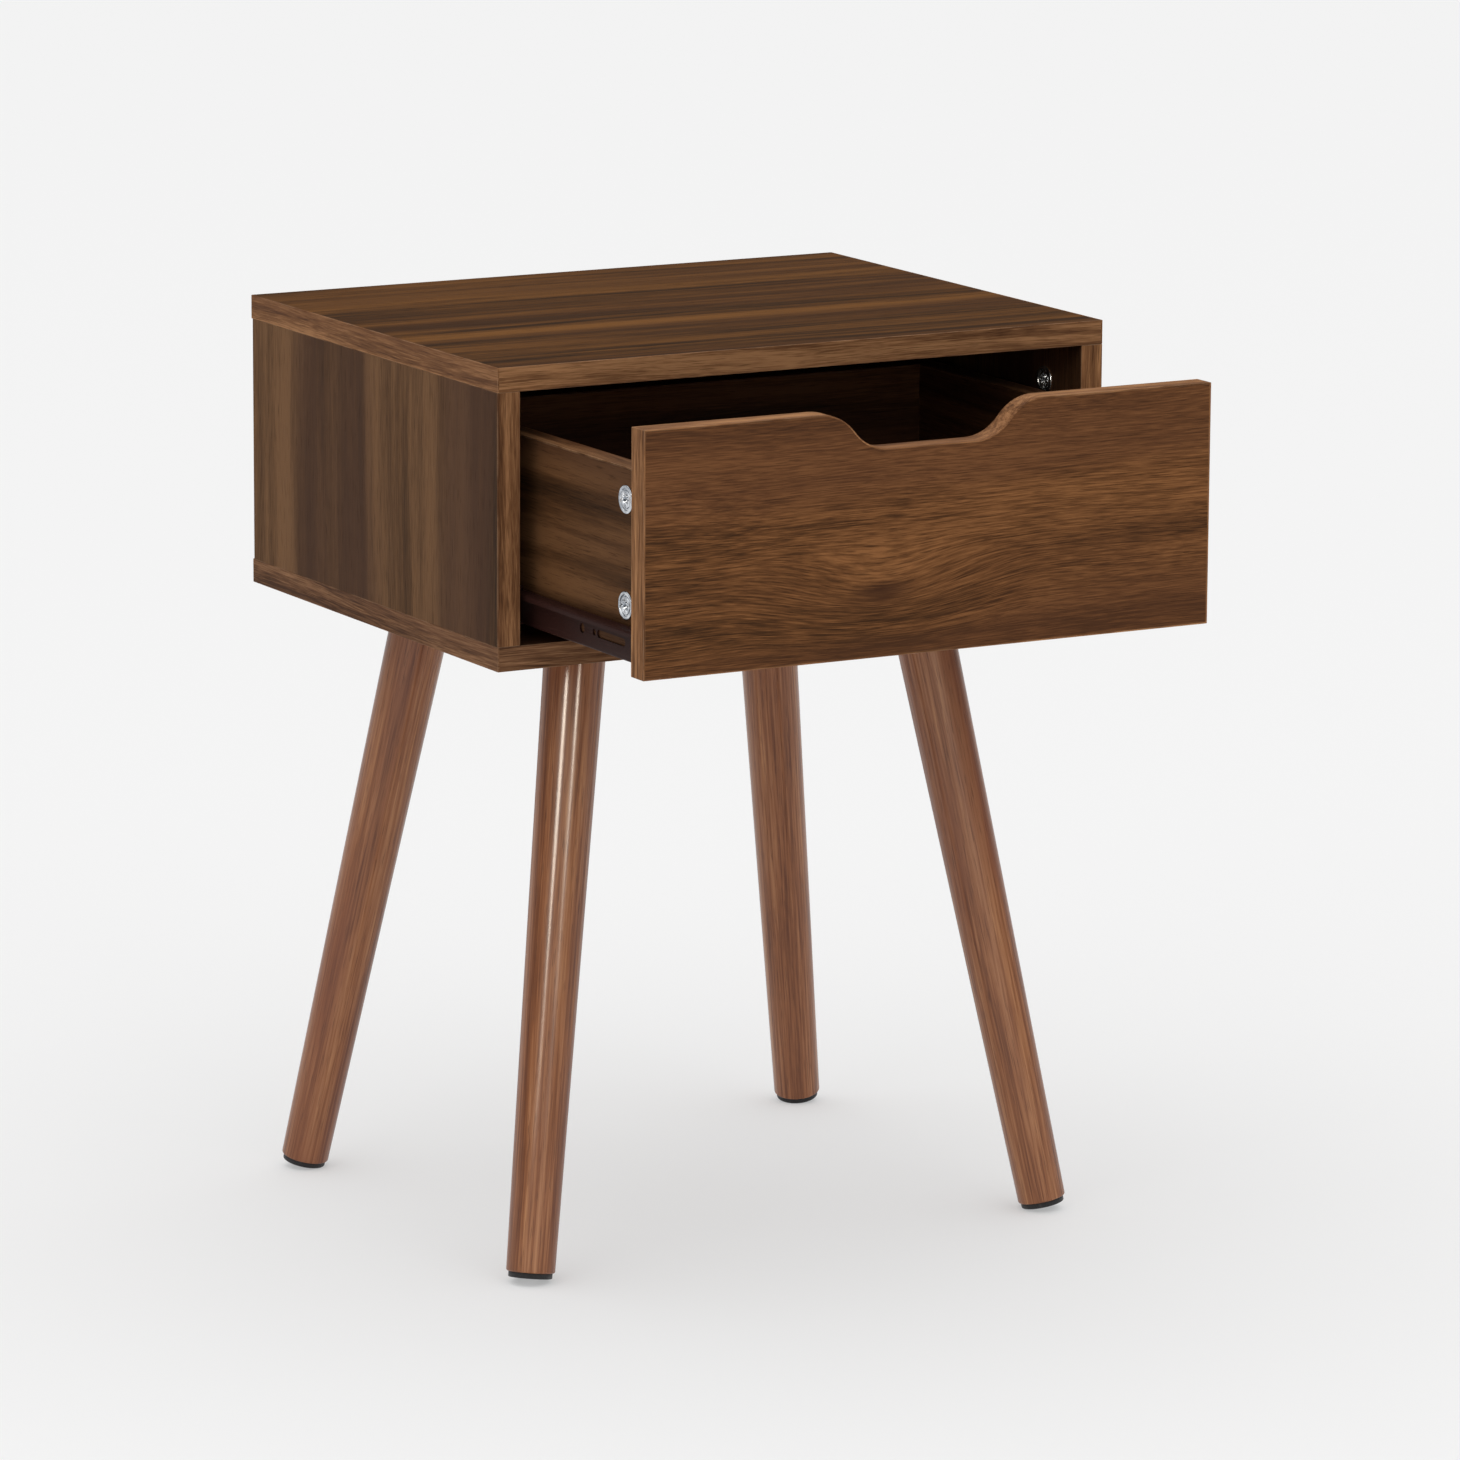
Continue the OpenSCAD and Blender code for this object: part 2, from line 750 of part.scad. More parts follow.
module drawer_cam_nuts() {
  color(zinc) both_sides() for (z = cam_heights)
    translate([slide_space, box_y + cam_setback, z]) rotate([0, -90, 0]) rotate(180) cam_nut(box_t);
}

module drawer_cam_bolts() {
  color(zinc) both_sides() front_joint_stations() {
    cam_bolt();
    union() {}
  }
}

module drawer_dowels() {
  color(beech) {
    both_sides() front_joint_stations() {
      union() {}
      dowel();
    }
    both_sides() across(slide_space + box_t, box_end - box_t / 2, dowel_height) dowel();
  }
}

module drawer_back_screws() {
  color(zinc) both_sides() back_screw_stations() rotate([180, 0, 0]) back_screw();
}

// ---- drawer rails ----

// Children point down from the underside of a drawer rail
module drawer_rail_screw_stations() {
  for (y = [rail_screw_inset, box_d / 2, box_d - rail_screw_inset])
    translate([slide_space + box_t / 2, box_y + y, box_z]) rotate([180, 0, 0]) children();
}

module drawer_rail(side) {
  rail_y = box_y + rail_front_gap;
  rail_l = box_d - rail_front_gap;
  lip_l = drawer_roller_y - roller_r - lip_end_gap - rail_y;
  mid_z = drawer_rail_z + drawer_rail_h / 2;
  color(dark_steel) on_side(side) difference() {
    union() {
      translate([web_s, rail_y, drawer_rail_z]) cube([rail_t, rail_l, drawer_rail_h]);
      translate([web_s, rail_y, drawer_rail_z]) cube([rail_t + box_t - sole_inset, rail_l, rail_t]);
      translate([lip_s, rail_y, lip_z - rail_t]) cube([slide_space - lip_s, lip_l, rail_t]);
      translate([lip_s, rail_y, lip_z - lip_edge]) cube([rail_t, lip_l, lip_edge]);
    }
    across(web_s, box_y + web_hole_y, mid_z) sheet_hole(web_hole_r);
    across(web_s, box_y + pilot_y, mid_z) sheet_hole(pilot_r);
    for (y = slot_y) across(web_s, box_y + y, mid_z) sheet_hole(slot_r);
    translate([web_s - eps, box_y + slot_y[0], mid_z - slot_r])
      cube([rail_t + 2 * eps, slot_y[1] - slot_y[0], 2 * slot_r]);
    across(web_s, drawer_roller_y, channel_mid) sheet_hole(rivet_r);
    drawer_rail_screw_stations() sheet_hole(screw_r);
  }
}

module drawer_rail_screws() {
  color(zinc) both_sides() drawer_rail_screw_stations()
    translate([0, 0, rail_t]) short_screw(screw_l + rail_t);
}

module drawer_roller_rivets() {
  head_s = drawer_roller_s - end_play - head_t;
  collar_s = drawer_roller_s + drawer_roller_w + end_play;
  color(zinc) both_sides() {
    across(head_s, drawer_roller_y, channel_mid) cylinder(r = rivet_r, h = slide_space - head_s);
    across(head_s, drawer_roller_y, channel_mid) cylinder(r = head_r, h = head_t);
    across(collar_s, drawer_roller_y, channel_mid) cylinder(r = collar_r, h = web_s - collar_s);
  }
}

module drawer_roller(side) {
  on_side(side) across(drawer_roller_s, drawer_roller_y, channel_mid)
    roller(roller_r, drawer_roller_w);
}

// ---- the nightstand ----

top_panel();
top_panel_edging();
bottom_panel();
bottom_panel_edging();
side_panel(left);  // left_side_panel
side_panel(right);  // right_side_panel
side_edging(left);  // left_side_edging
side_edging(right);  // right_side_edging
back_panel();
case_cam_nuts();
case_cam_bolts();
case_dowels();
case_screws();
case_rail(left);  // left_case_rail
case_rail(right);  // right_case_rail
case_rail_screws();
case_roller_rivets();
case_roller(left);  // left_case_roller
case_roller(right);  // right_case_roller
leg(left, front);  // front_left_leg
leg(right, front);  // front_right_leg
leg(left, back);  // back_left_leg
leg(right, back);  // back_right_leg
leg_nuts();
leg_bolts();
foot_pad(left, front);  // front_left_pad
foot_pad(right, front);  // front_right_pad
foot_pad(left, back);  // back_left_pad
foot_pad(right, back);  // back_right_pad
pad_nails();
drawer_front();
drawer_front_edging();
drawer_side(left);  // drawer_left_side
drawer_side(right);  // drawer_right_side
drawer_back();
drawer_box_edging();
drawer_bottom();
drawer_bottom_screws();
drawer_cam_nuts();
drawer_cam_bolts();
drawer_dowels();
drawer_back_screws();
drawer_rail(left);  // left_drawer_rail
drawer_rail(right);  // right_drawer_rail
drawer_rail_screws();
drawer_roller_rivets();
drawer_roller(left);  // left_drawer_roller
drawer_roller(right);  // right_drawer_roller
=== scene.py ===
import bpy
import math
from mathutils import Matrix, Vector


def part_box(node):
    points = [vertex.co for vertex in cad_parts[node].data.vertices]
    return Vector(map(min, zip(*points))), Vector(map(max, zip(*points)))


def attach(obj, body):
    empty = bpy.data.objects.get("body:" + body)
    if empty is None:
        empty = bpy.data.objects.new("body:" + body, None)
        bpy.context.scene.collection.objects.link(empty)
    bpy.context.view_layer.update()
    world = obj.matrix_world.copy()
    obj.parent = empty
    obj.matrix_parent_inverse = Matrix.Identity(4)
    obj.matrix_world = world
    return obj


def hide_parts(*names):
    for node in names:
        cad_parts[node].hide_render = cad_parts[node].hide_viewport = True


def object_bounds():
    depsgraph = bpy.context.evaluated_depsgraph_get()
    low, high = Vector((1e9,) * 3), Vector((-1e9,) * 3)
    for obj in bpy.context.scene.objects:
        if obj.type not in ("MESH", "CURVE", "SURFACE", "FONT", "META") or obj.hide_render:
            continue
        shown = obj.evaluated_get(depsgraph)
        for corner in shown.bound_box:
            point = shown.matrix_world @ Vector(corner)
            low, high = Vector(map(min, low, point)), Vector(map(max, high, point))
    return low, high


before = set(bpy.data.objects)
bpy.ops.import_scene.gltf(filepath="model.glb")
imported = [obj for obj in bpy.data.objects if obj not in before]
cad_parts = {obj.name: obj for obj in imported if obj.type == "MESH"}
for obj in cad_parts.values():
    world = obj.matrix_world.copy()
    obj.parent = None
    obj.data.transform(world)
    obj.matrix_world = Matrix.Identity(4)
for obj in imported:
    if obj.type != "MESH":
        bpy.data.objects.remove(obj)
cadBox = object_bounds()
mm = 0.001
up = Vector((0, 0, 1))
down = Vector((0, 0, -1))
back = Vector((0, 1, 0))
across = Vector((1, 0, 0))


# where things are, read from the frame
def low(node):
    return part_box(node)[0]


def high(node):
    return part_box(node)[1]


def middle(node):
    return (low(node) + high(node)) / 2


def size(node):
    return high(node) - low(node)


caseFace = -high("left_side_panel").x        # inner faces of the side panels are at + and - this
drawerFace = -low("drawer_left_side").x      # and the outer faces of the drawer sides at this
floorZ = high("bottom_panel").z
ceilingZ = low("top_panel").z
undersideZ = low("bottom_panel").z
boxFront = low("drawer_left_side").y
boardThick = size("left_side_panel").x


camera = {
    "azimuth": -29.25,        # degrees round from the front
    "elevation": 11.62,
    "roll": 0.31,
    "distance": 4.727,        # metres from the aim
    "lens": 187.65,
    "aim": (0.0044, 0.006, 0.026),   # from the middle of the nightstand
}

studio = {
    "floorTone": 0.52,
    "floorGlow": 0.37,        # the floor is a lit table, so shadows stay faint
    "overhead": 1.32,         # strength of the white ceiling
    "horizon": 0.10,          # and of the darker walls
    "softboxes": [            # azimuth, height, distance, width, tall, power, what it gives
        (-53, 1.12, 2.6, 0.36, 0.95, 62, "highlights"),
        (-8, 1.12, 2.6, 0.30, 0.95, 58, "highlights"),
        (-62, 3.4, 6.5, 3.5, 2.5, 30, "both"),
        (5, 3.6, 6.5, 3.5, 2.5, 34, "both"),
        (-22, 1.1, 6.0, 2.5, 1.6, 20, "fill"),
    ],
    "highlightTint": (1.0, 0.90, 0.76),
}


def lookFrom(spot, aim, roll=0.0):
    turn = (spot - aim).to_track_quat("Z", "Y").to_matrix().to_4x4()
    return Matrix.Translation(spot) @ turn @ Matrix.Rotation(math.radians(roll), 4, "Z")


def around(azimuth, elevation):
    a, e = math.radians(azimuth), math.radians(elevation)
    return Vector((math.sin(a) * math.cos(e), -math.cos(a) * math.cos(e), math.sin(e)))


def addCamera():
    aim = (cadBox[0] + cadBox[1]) / 2 + Vector(camera["aim"])
    lens = bpy.data.cameras.new("camera")
    lens.lens = camera["lens"]
    lens.sensor_width = 36
    lens.clip_end = 100
    eye = bpy.data.objects.new("camera", lens)
    bpy.context.collection.objects.link(eye)
    spot = aim + camera["distance"] * around(camera["azimuth"], camera["elevation"])
    eye.matrix_world = lookFrom(spot, aim, camera["roll"])
    bpy.context.scene.camera = eye


def addStudio():
    middleSpot = (cadBox[0] + cadBox[1]) / 2
    room = bpy.data.worlds.new("room")
    room.use_nodes = True
    tree = room.node_tree
    way = addNode(tree, "SeparateXYZ", {"Vector": addNode(tree, "TexCoord", {}).outputs["Generated"]})
    strength = remap(tree, way.outputs["Z"], 0.25, 0.75, studio["horizon"], studio["overhead"])
    tree.nodes["Background"].inputs["Color"].default_value = (1, 1, 1, 1)
    tree.links.new(strength, tree.nodes["Background"].inputs["Strength"])
    bpy.context.scene.world = room
    for azimuth, height, distance, width, tall, power, gives in studio["softboxes"]:
        lamp = bpy.data.lights.new("softbox", "AREA")
        lamp.shape = "RECTANGLE"
        lamp.size = width
        lamp.size_y = tall
        lamp.energy = power
        box = bpy.data.objects.new("softbox", lamp)
        box.visible_diffuse = gives != "highlights"
        box.visible_glossy = gives != "fill"
        if gives == "highlights":
            lamp.color = studio["highlightTint"]
        bpy.context.collection.objects.link(box)
        spot = middleSpot + distance * around(azimuth, 0)
        spot.z = height
        box.matrix_world = lookFrom(spot, middleSpot)
    bpy.context.scene.view_settings.view_transform = "Standard"


def addFloor():
    clearSelection()
    bpy.ops.mesh.primitive_plane_add(size=60, location=(0, 0, 0))
    floor = bpy.context.active_object
    floor.name = "studioFloor"
    material, tree = newMaterial("studioFloor")
    tone = studio["floorTone"]
    surface(tree, {
        "Base Color": (tone, tone, tone, 1), "Roughness": 0.9, "Specular IOR Level": 0.0,
        "Emission Color": (1, 1, 1, 1), "Emission Strength": studio["floorGlow"],
    })
    floor.data.materials.append(material)


def tint(red, green, blue):
    # paint values of 0 to 255 as scene colour
    return tuple(((c / 255 + 0.055) / 1.055) ** 2.4 for c in (red, green, blue)) + (1,)


def newMaterial(name):
    material = bpy.data.materials.new(name)
    material.use_nodes = True
    material.node_tree.nodes.clear()
    return material, material.node_tree


def addNode(tree, kind, wires, **settings):
    node = tree.nodes.new("ShaderNode" + kind)
    for key, value in settings.items():
        setattr(node, key, value)
    for key, value in wires.items():
        if isinstance(value, bpy.types.NodeSocket):
            tree.links.new(value, node.inputs[key])
        else:
            node.inputs[key].default_value = value
    return node


def calc(tree, operation, a, b=0.0):
    return addNode(tree, "Math", {0: a, 1: b}, operation=operation).outputs[0]


def stretch(tree, vector, factors):
    return addNode(tree, "VectorMath", {0: vector, 1: factors}, operation="MULTIPLY").outputs[0]


def shift(tree, vector, other):
    return addNode(tree, "VectorMath", {0: vector, 1: other}, operation="ADD").outputs[0]


def noise(tree, vector, detail=2.0, roughness=0.5):
    wires = {"Vector": vector, "Scale": 1.0, "Detail": detail, "Roughness": roughness}
    return addNode(tree, "TexNoise", wires)


def ramp(tree, value, stops):
    node = addNode(tree, "ValToRGB", {"Fac": value})
    while len(node.color_ramp.elements) < len(stops):
        node.color_ramp.elements.new(0.5)
    for element, (place, colour) in zip(node.color_ramp.elements, stops):
        element.position = place
        element.color = colour
    return node.outputs["Color"]


def remap(tree, value, start, end, first=0.0, last=1.0):
    wires = {"Value": value, "From Min": start, "From Max": end, "To Min": first, "To Max": last}
    return addNode(tree, "MapRange", wires, interpolation_type="SMOOTHSTEP").outputs["Result"]


def blend(tree, share, first, second, mode="MIX"):
    wires = {"Fac": share, "Color1": first, "Color2": second}
    return addNode(tree, "MixRGB", wires, blend_type=mode).outputs[0]


def bump(tree, height, distance, strength=1.0):
    wires = {"Height": height, "Distance": distance, "Strength": strength}
    return addNode(tree, "Bump", wires).outputs["Normal"]


def surface(tree, wires):
    shader = addNode(tree, "BsdfPrincipled", wires)
    addNode(tree, "OutputMaterial", {"Surface": shader.outputs["BSDF"]})
    return shader


def objectSpot(tree):
    return addNode(tree, "TexCoord", {}).outputs["Object"]


def edgeWearAndHighlight(tree, spot, corners, width):
    # 1 along the outer edges of a box with these corners, fading out over width: edge wear, and a painted
    # highlight along the arrises
    lowest, highest = corners
    centre = (lowest + highest) / 2
    half = (highest - lowest) / 2
    fromCentre = addNode(tree, "VectorMath", {0: shift(tree, spot, -centre)}, operation="ABSOLUTE").outputs[0]
    inward = addNode(tree, "VectorMath", {0: half, 1: fromCentre}, operation="SUBTRACT").outputs[0]
    parts = addNode(tree, "SeparateXYZ", {"Vector": inward})
    x, y, z = parts.outputs[0], parts.outputs[1], parts.outputs[2]
    nearest = calc(tree, "MINIMUM", x, y)
    farther = calc(tree, "MAXIMUM", x, y)
    second = calc(tree, "MAXIMUM", nearest, calc(tree, "MINIMUM", farther, z))
    worn = noise(tree, stretch(tree, spot, (60, 60, 60)), 3).outputs["Fac"]
    return calc(tree, "MULTIPLY", remap(tree, second, 0.1 * width, width, 1, 0), remap(tree, worn, 0.35, 0.6))


turns = {"x": (0, 0, 0), "y": (0, 0, -math.pi / 2), "z": (0, math.pi / 2, 0)}   # bring the grain onto X

foil = {
    "dark": tint(54, 35, 22),
    "plum": tint(80, 51, 36),
    "middle": tint(92, 60, 37),
    "light": tint(124, 84, 54),
    "pore": tint(42, 26, 16),
    "eye": tint(42, 24, 19),
    # lighter colour of the worn edges, also a painted highlight along the arrises
    "wearAndHighlight": tint(134, 100, 74),
    "wearAndHighlightWidth": 0.6,          # faint wear along the edges, with a painted highlight on the arrises, in millimetres
    "wearAndHighlightShare": 0.35,
    "roughness": 0.46,
    "streakRough": 0.12,      # how much rougher the streaks are
    "poreRough": 0.15,        # and the pores
    "poreDepth": 0.6,
    "shine": 0.03,            # specular level
}


def weigh(tree, total, part, weight):
    # adds a part that swings round a half
    lifted = calc(tree, "SUBTRACT", part, 0.5)
    return calc(tree, "ADD", total, calc(tree, "MULTIPLY", lifted, weight))


figure = {
    # noise cells in a metre along and across the grain
    "sway": (2.2, 8, 8),
    "swayBy": 0.026,          # metres sideways
    "streaks": (7, 210, 210),
    "fine": (42, 1150, 1150),
    "pores": (60, 1900, 1900),
}


def swayGrain(tree, grain, cells, by):
    # bends straight grain a little to the sides
    sway = noise(tree, stretch(tree, grain, cells), 2).outputs["Color"]
    return shift(tree, grain, stretch(tree, shift(tree, sway, (-0.5, -0.5, -0.5)), (0, by, by)))


def poresIn(tree, grain, cells):
    return remap(tree, noise(tree, stretch(tree, grain, cells), 1).outputs["Fac"], 0.60, 0.72)


def turnGrain(tree, spot, along, offset=(0, 0, 0)):
    wires = {"Vector": spot, "Rotation": turns[along], "Location": offset}
    return addNode(tree, "Mapping", wires).outputs["Vector"]


def grainColour(tree, grain, colours, look):
    # grain runs along X; returns colour, streaks, pores and fine lines
    swayed = swayGrain(tree, grain, figure["sway"], figure["swayBy"])
    width = look["bandWidth"]
    bands = noise(tree, stretch(tree, swayed, (1.4, 1 / width, 1 / width)), 2, 0.55).outputs["Fac"]
    wide = noise(tree, stretch(tree, swayed, (0.8, 0.4 / width, 0.4 / width)), 1).outputs["Fac"]
    wires = {"Vector": stretch(tree, swayed, (0.16, 1, 1)), "Scale": 20.0, "Distortion": 6.0, "Detail": 2.0}
    rings = addNode(tree, "TexWave", {**wires, "Detail Scale": 1.2}, bands_direction="Y").outputs["Fac"]
    streaks = noise(tree, stretch(tree, swayed, figure["streaks"]), 3, 0.6).outputs["Fac"]
    fine = noise(tree, stretch(tree, swayed, figure["fine"]), 3, 0.62).outputs["Fac"]
    pores = poresIn(tree, grain, figure["pores"])
    mix = weigh(tree, 0.5, bands, look["bands"])
    mix = weigh(tree, mix, streaks, look["streaks"])
    mix = weigh(tree, mix, fine, look["fine"])
    mix = weigh(tree, mix, rings, look["rings"])
    stops = [(0.22, colours["dark"]), (0.5, colours["middle"]), (0.80, colours["light"])]
    colour = ramp(tree, mix, stops)
    colour = blend(tree, remap(tree, wide, 0.42, 0.6, 0, look["plum"]), colour, colours["plum"])
    colour = blend(tree, calc(tree, "MULTIPLY", pores, 0.5), colour, colours["pore"])
    return colour, streaks, pores, fine


looks = {
    "plain": {"bandWidth": 0.026, "bands": 1.5, "streaks": 0.7, "fine": 0.7, "rings": 0.10, "plum": 0.5},
    "banded": {"bandWidth": 0.018, "bands": 2.1, "streaks": 0.7, "fine": 0.6, "rings": 0.05, "plum": 0.5},
    "quiet": {"bandWidth": 0.040, "bands": 1.5, "streaks": 0.5, "fine": 0.6, "rings": 0.06, "plum": 0.7},
    "soft": {"bandWidth": 0.022, "bands": 2.0, "streaks": 0.6, "fine": 0.4, "rings": 0.05, "plum": 0.6},
    "lined": {"bandWidth": 0.034, "bands": 0.9, "streaks": 0.4, "fine": 1.4, "rings": 0.10, "plum": 0.5},
    "edge": {"bandWidth": 0.012, "bands": 0.8, "streaks": 1.1, "fine": 1.2, "rings": 0.10, "plum": 0.4},
}


def finishWood(tree, spot, node, colours, tone, colour, streaks, pores, fine):
    # tone, edge wear with a painted highlight along the arrises, roughness and relief, the same way on boards
    # and edge strips
    colour = blend(tree, 1, colour, tone + (1,), "MULTIPLY")
    wearAndHighlight = edgeWearAndHighlight(tree, spot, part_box(node), colours["wearAndHighlightWidth"] * mm)
    # lightens the edges: wear, and a painted highlight along the arrises
    colour = blend(tree, calc(tree, "MULTIPLY", wearAndHighlight, colours["wearAndHighlightShare"]), colour, colours["wearAndHighlight"])
    rough = calc(tree, "ADD", colours["roughness"], calc(tree, "MULTIPLY", streaks, colours["streakRough"]))
    rough = calc(tree, "ADD", rough, calc(tree, "MULTIPLY", pores, colours["poreRough"]))
    sunk = calc(tree, "MULTIPLY", pores, colours["poreDepth"])
    height = calc(tree, "SUBTRACT", calc(tree, "MULTIPLY", fine, 0.5), sunk)
    surface(tree, {
        "Base Color": colour, "Roughness": rough, "Specular IOR Level": colours["shine"],
        "Normal": bump(tree, height, 0.12 * mm, 0.5),
    })


def walnutFoil(name, along, offset, node, look, tone, knot=None):
    material, tree = newMaterial(name)
    spot = objectSpot(tree)
    grain = turnGrain(tree, spot, along, offset)
    if knot:
        # a soft dark eye that the grain bends round: its middle, and half sizes along and across
        centre, reach = knot
        fromEye = shift(tree, spot, -Vector(centre))
        away = addNode(tree, "VectorMath", {0: fromEye, 1: reach}, operation="DIVIDE")
        ripple = noise(tree, stretch(tree, spot, (16, 16, 90)), 3).outputs["Fac"]
        far = addNode(tree, "VectorMath", {0: away.outputs[0]}, operation="LENGTH").outputs["Value"]
        shade = remap(tree, calc(tree, "ADD", far, calc(tree, "MULTIPLY", ripple, 1.2)), 0.60, 1.30, 0.8, 0)
        hump = addNode(tree, "CombineXYZ", {"Z": remap(tree, far, 0, 2.6, 0.016, 0)}).outputs["Vector"]
        grain = shift(tree, grain, hump)
    colour, streaks, pores, fine = grainColour(tree, grain, foil, looks[look])
    if knot:
        colour = blend(tree, shade, colour, foil["eye"])
    finishWood(tree, spot, node, foil, tone, colour, streaks, pores, fine)
    return material


strip = {
    "dark": tint(80, 51, 32),
    "plum": tint(114, 75, 50),
    "middle": tint(120, 82, 54),
    "light": tint(160, 116, 80),
    "pore": tint(58, 36, 22),
    # lighter colour of the worn edges, also a painted highlight along the arrises
    "wearAndHighlight": tint(172, 138, 108),
    "wearAndHighlightWidth": 0.5,
    "wearAndHighlightShare": 0.45,
    "roughness": 0.44,
    "streakRough": 0.14,
    "poreRough": 0.0,
    "poreDepth": 0.7,
    "shine": 0.04,
}


def edgeStrip(name, along, offset, node, ends, tone):
    # ends: how the strips at the ends of the node run, and how far out they start
    material, tree = newMaterial(name)
    spot = objectSpot(tree)
    grain = turnGrain(tree, spot, along, offset)
    if ends:
        endAlong, start = ends
        x = calc(tree, "ABSOLUTE", addNode(tree, "SeparateXYZ", {"Vector": spot}).outputs["X"])
        isEnd = calc(tree, "GREATER_THAN", x, start)
        grain = blend(tree, isEnd, grain, turnGrain(tree, spot, endAlong, offset))
    colour, streaks, pores, fine = grainColour(tree, grain, strip, looks["edge"])
    finishWood(tree, spot, node, strip, tone, colour, streaks, pores, fine)
    return material


legStain = {
    "dark": tint(96, 52, 30),
    "plum": tint(128, 74, 50),
    "middle": tint(142, 88, 54),
    "light": tint(176, 122, 82),
    "pore": tint(76, 40, 24),
    "roughness": 0.40,
    "shine": 0.15,
    "lacquer": 0.5,
    "lacquerRoughness": 0.19,
    # noise cells in a metre along and across the leg
    "sway": (3, 24, 24),
    "swayBy": 0.006,
    "bands": (2.2, 110, 110),
    "streaks": (12, 640, 640),
    "pores": (60, 1700, 1700),
    "clouds": (3, 30, 30),
}


def legLacquer():
    # woodSpot is each leg's own upright place, so one finish serves the four slanted legs
    material, tree = newMaterial("legLacquer")
    spot = addNode(tree, "Attribute", {}, attribute_name="woodSpot").outputs["Vector"]
    grain = turnGrain(tree, spot, "z")
    swayed = swayGrain(tree, grain, legStain["sway"], legStain["swayBy"])
    bands = noise(tree, stretch(tree, swayed, legStain["bands"]), 3, 0.6).outputs["Fac"]
    streaks = noise(tree, stretch(tree, swayed, legStain["streaks"]), 4, 0.62).outputs["Fac"]
    pores = poresIn(tree, grain, legStain["pores"])
    mix = weigh(tree, weigh(tree, 0.5, bands, 0.9), streaks, 1.0)
    stops = [(0.24, legStain["dark"]), (0.50, legStain["middle"]), (0.76, legStain["light"])]
    colour = ramp(tree, mix, stops)
    clouds = noise(tree, stretch(tree, grain, legStain["clouds"]), 1).outputs["Fac"]
    colour = blend(tree, remap(tree, clouds, 0.45, 0.6, 0, 0.5), colour, legStain["plum"])
    colour = blend(tree, calc(tree, "MULTIPLY", pores, 0.5), colour, legStain["pore"])
    height = calc(tree, "SUBTRACT", streaks, calc(tree, "MULTIPLY", pores, 0.8))
    surface(tree, {
        "Base Color": colour,
        "Roughness": calc(tree, "ADD", legStain["roughness"], calc(tree, "MULTIPLY", streaks, 0.1)),
        "Specular IOR Level": legStain["shine"],
        "Coat Weight": legStain["lacquer"], "Coat Roughness": legStain["lacquerRoughness"],
        "Normal": bump(tree, height, 0.10 * mm, 0.6),
        "Coat Normal": bump(tree, bands, 0.25 * mm, 0.5),
    })
    return material


def bareBeech():
    material, tree = newMaterial("bareBeech")
    spot = objectSpot(tree)
    flecks = noise(tree, stretch(tree, spot, (900, 900, 900)), 3).outputs["Fac"]
    tone = noise(tree, stretch(tree, spot, (60, 60, 60)), 2).outputs["Fac"]
    mix = calc(tree, "ADD", calc(tree, "MULTIPLY", flecks, 0.5), calc(tree, "MULTIPLY", tone, 0.5))
    colour = ramp(tree, mix, [(0.35, tint(178, 134, 92)), (0.65, tint(216, 178, 134))])
    surface(tree, {
        "Base Color": colour, "Roughness": calc(tree, "ADD", 0.6, calc(tree, "MULTIPLY", flecks, 0.15)),
        "Normal": bump(tree, flecks, 0.08 * mm, 0.5),
    })
    return material


def zincPlate(name, bright, dull, roughness):
    material, tree = newMaterial(name)
    spot = objectSpot(tree)
    clouds = noise(tree, stretch(tree, spot, (220, 220, 220)), 3).outputs["Fac"]
    grit = noise(tree, stretch(tree, spot, (1600, 1600, 1600)), 3).outputs["Fac"]
    colour = ramp(tree, clouds, [(0.35, dull), (0.65, bright)])
    surface(tree, {
        "Base Color": colour, "Metallic": 1.0,
        "Roughness": calc(tree, "ADD", roughness, calc(tree, "MULTIPLY", clouds, 0.16)),
        "Normal": bump(tree, grit, 0.05 * mm, 0.35),
    })
    return material


def railPaint():
    material, tree = newMaterial("railPaint")
    spot = objectSpot(tree)
    peel = noise(tree, stretch(tree, spot, (900, 900, 900)), 2).outputs["Fac"]
    scuffs = noise(tree, stretch(tree, spot, (500, 26, 500)), 3).outputs["Fac"]
    worn = remap(tree, scuffs, 0.62, 0.75, 0, 0.45)
    colour = ramp(tree, peel, [(0.3, tint(42, 23, 20)), (0.7, tint(54, 32, 28))])
    colour = blend(tree, worn, colour, tint(74, 52, 46))
    surface(tree, {
        "Base Color": colour, "Specular IOR Level": 0.04,
        "Roughness": calc(tree, "ADD", 0.30, calc(tree, "MULTIPLY", peel, 0.2)),
        "Normal": bump(tree, peel, 0.06 * mm, 0.5),
    })
    return material


def rollerNylon():
    material, tree = newMaterial("rollerNylon")
    spot = objectSpot(tree)
    clouds = noise(tree, stretch(tree, spot, (300, 300, 300)), 3).outputs["Fac"]
    colour = ramp(tree, clouds, [(0.35, tint(206, 202, 190)), (0.65, tint(226, 223, 214))])
    surface(tree, {
        "Base Color": colour, "Roughness": calc(tree, "ADD", 0.36, calc(tree, "MULTIPLY", clouds, 0.2)),
        "Subsurface Weight": 0.1, "Subsurface Radius": (0.002, 0.002, 0.002),
        "Normal": bump(tree, clouds, 0.05 * mm, 0.4),
    })
    return material


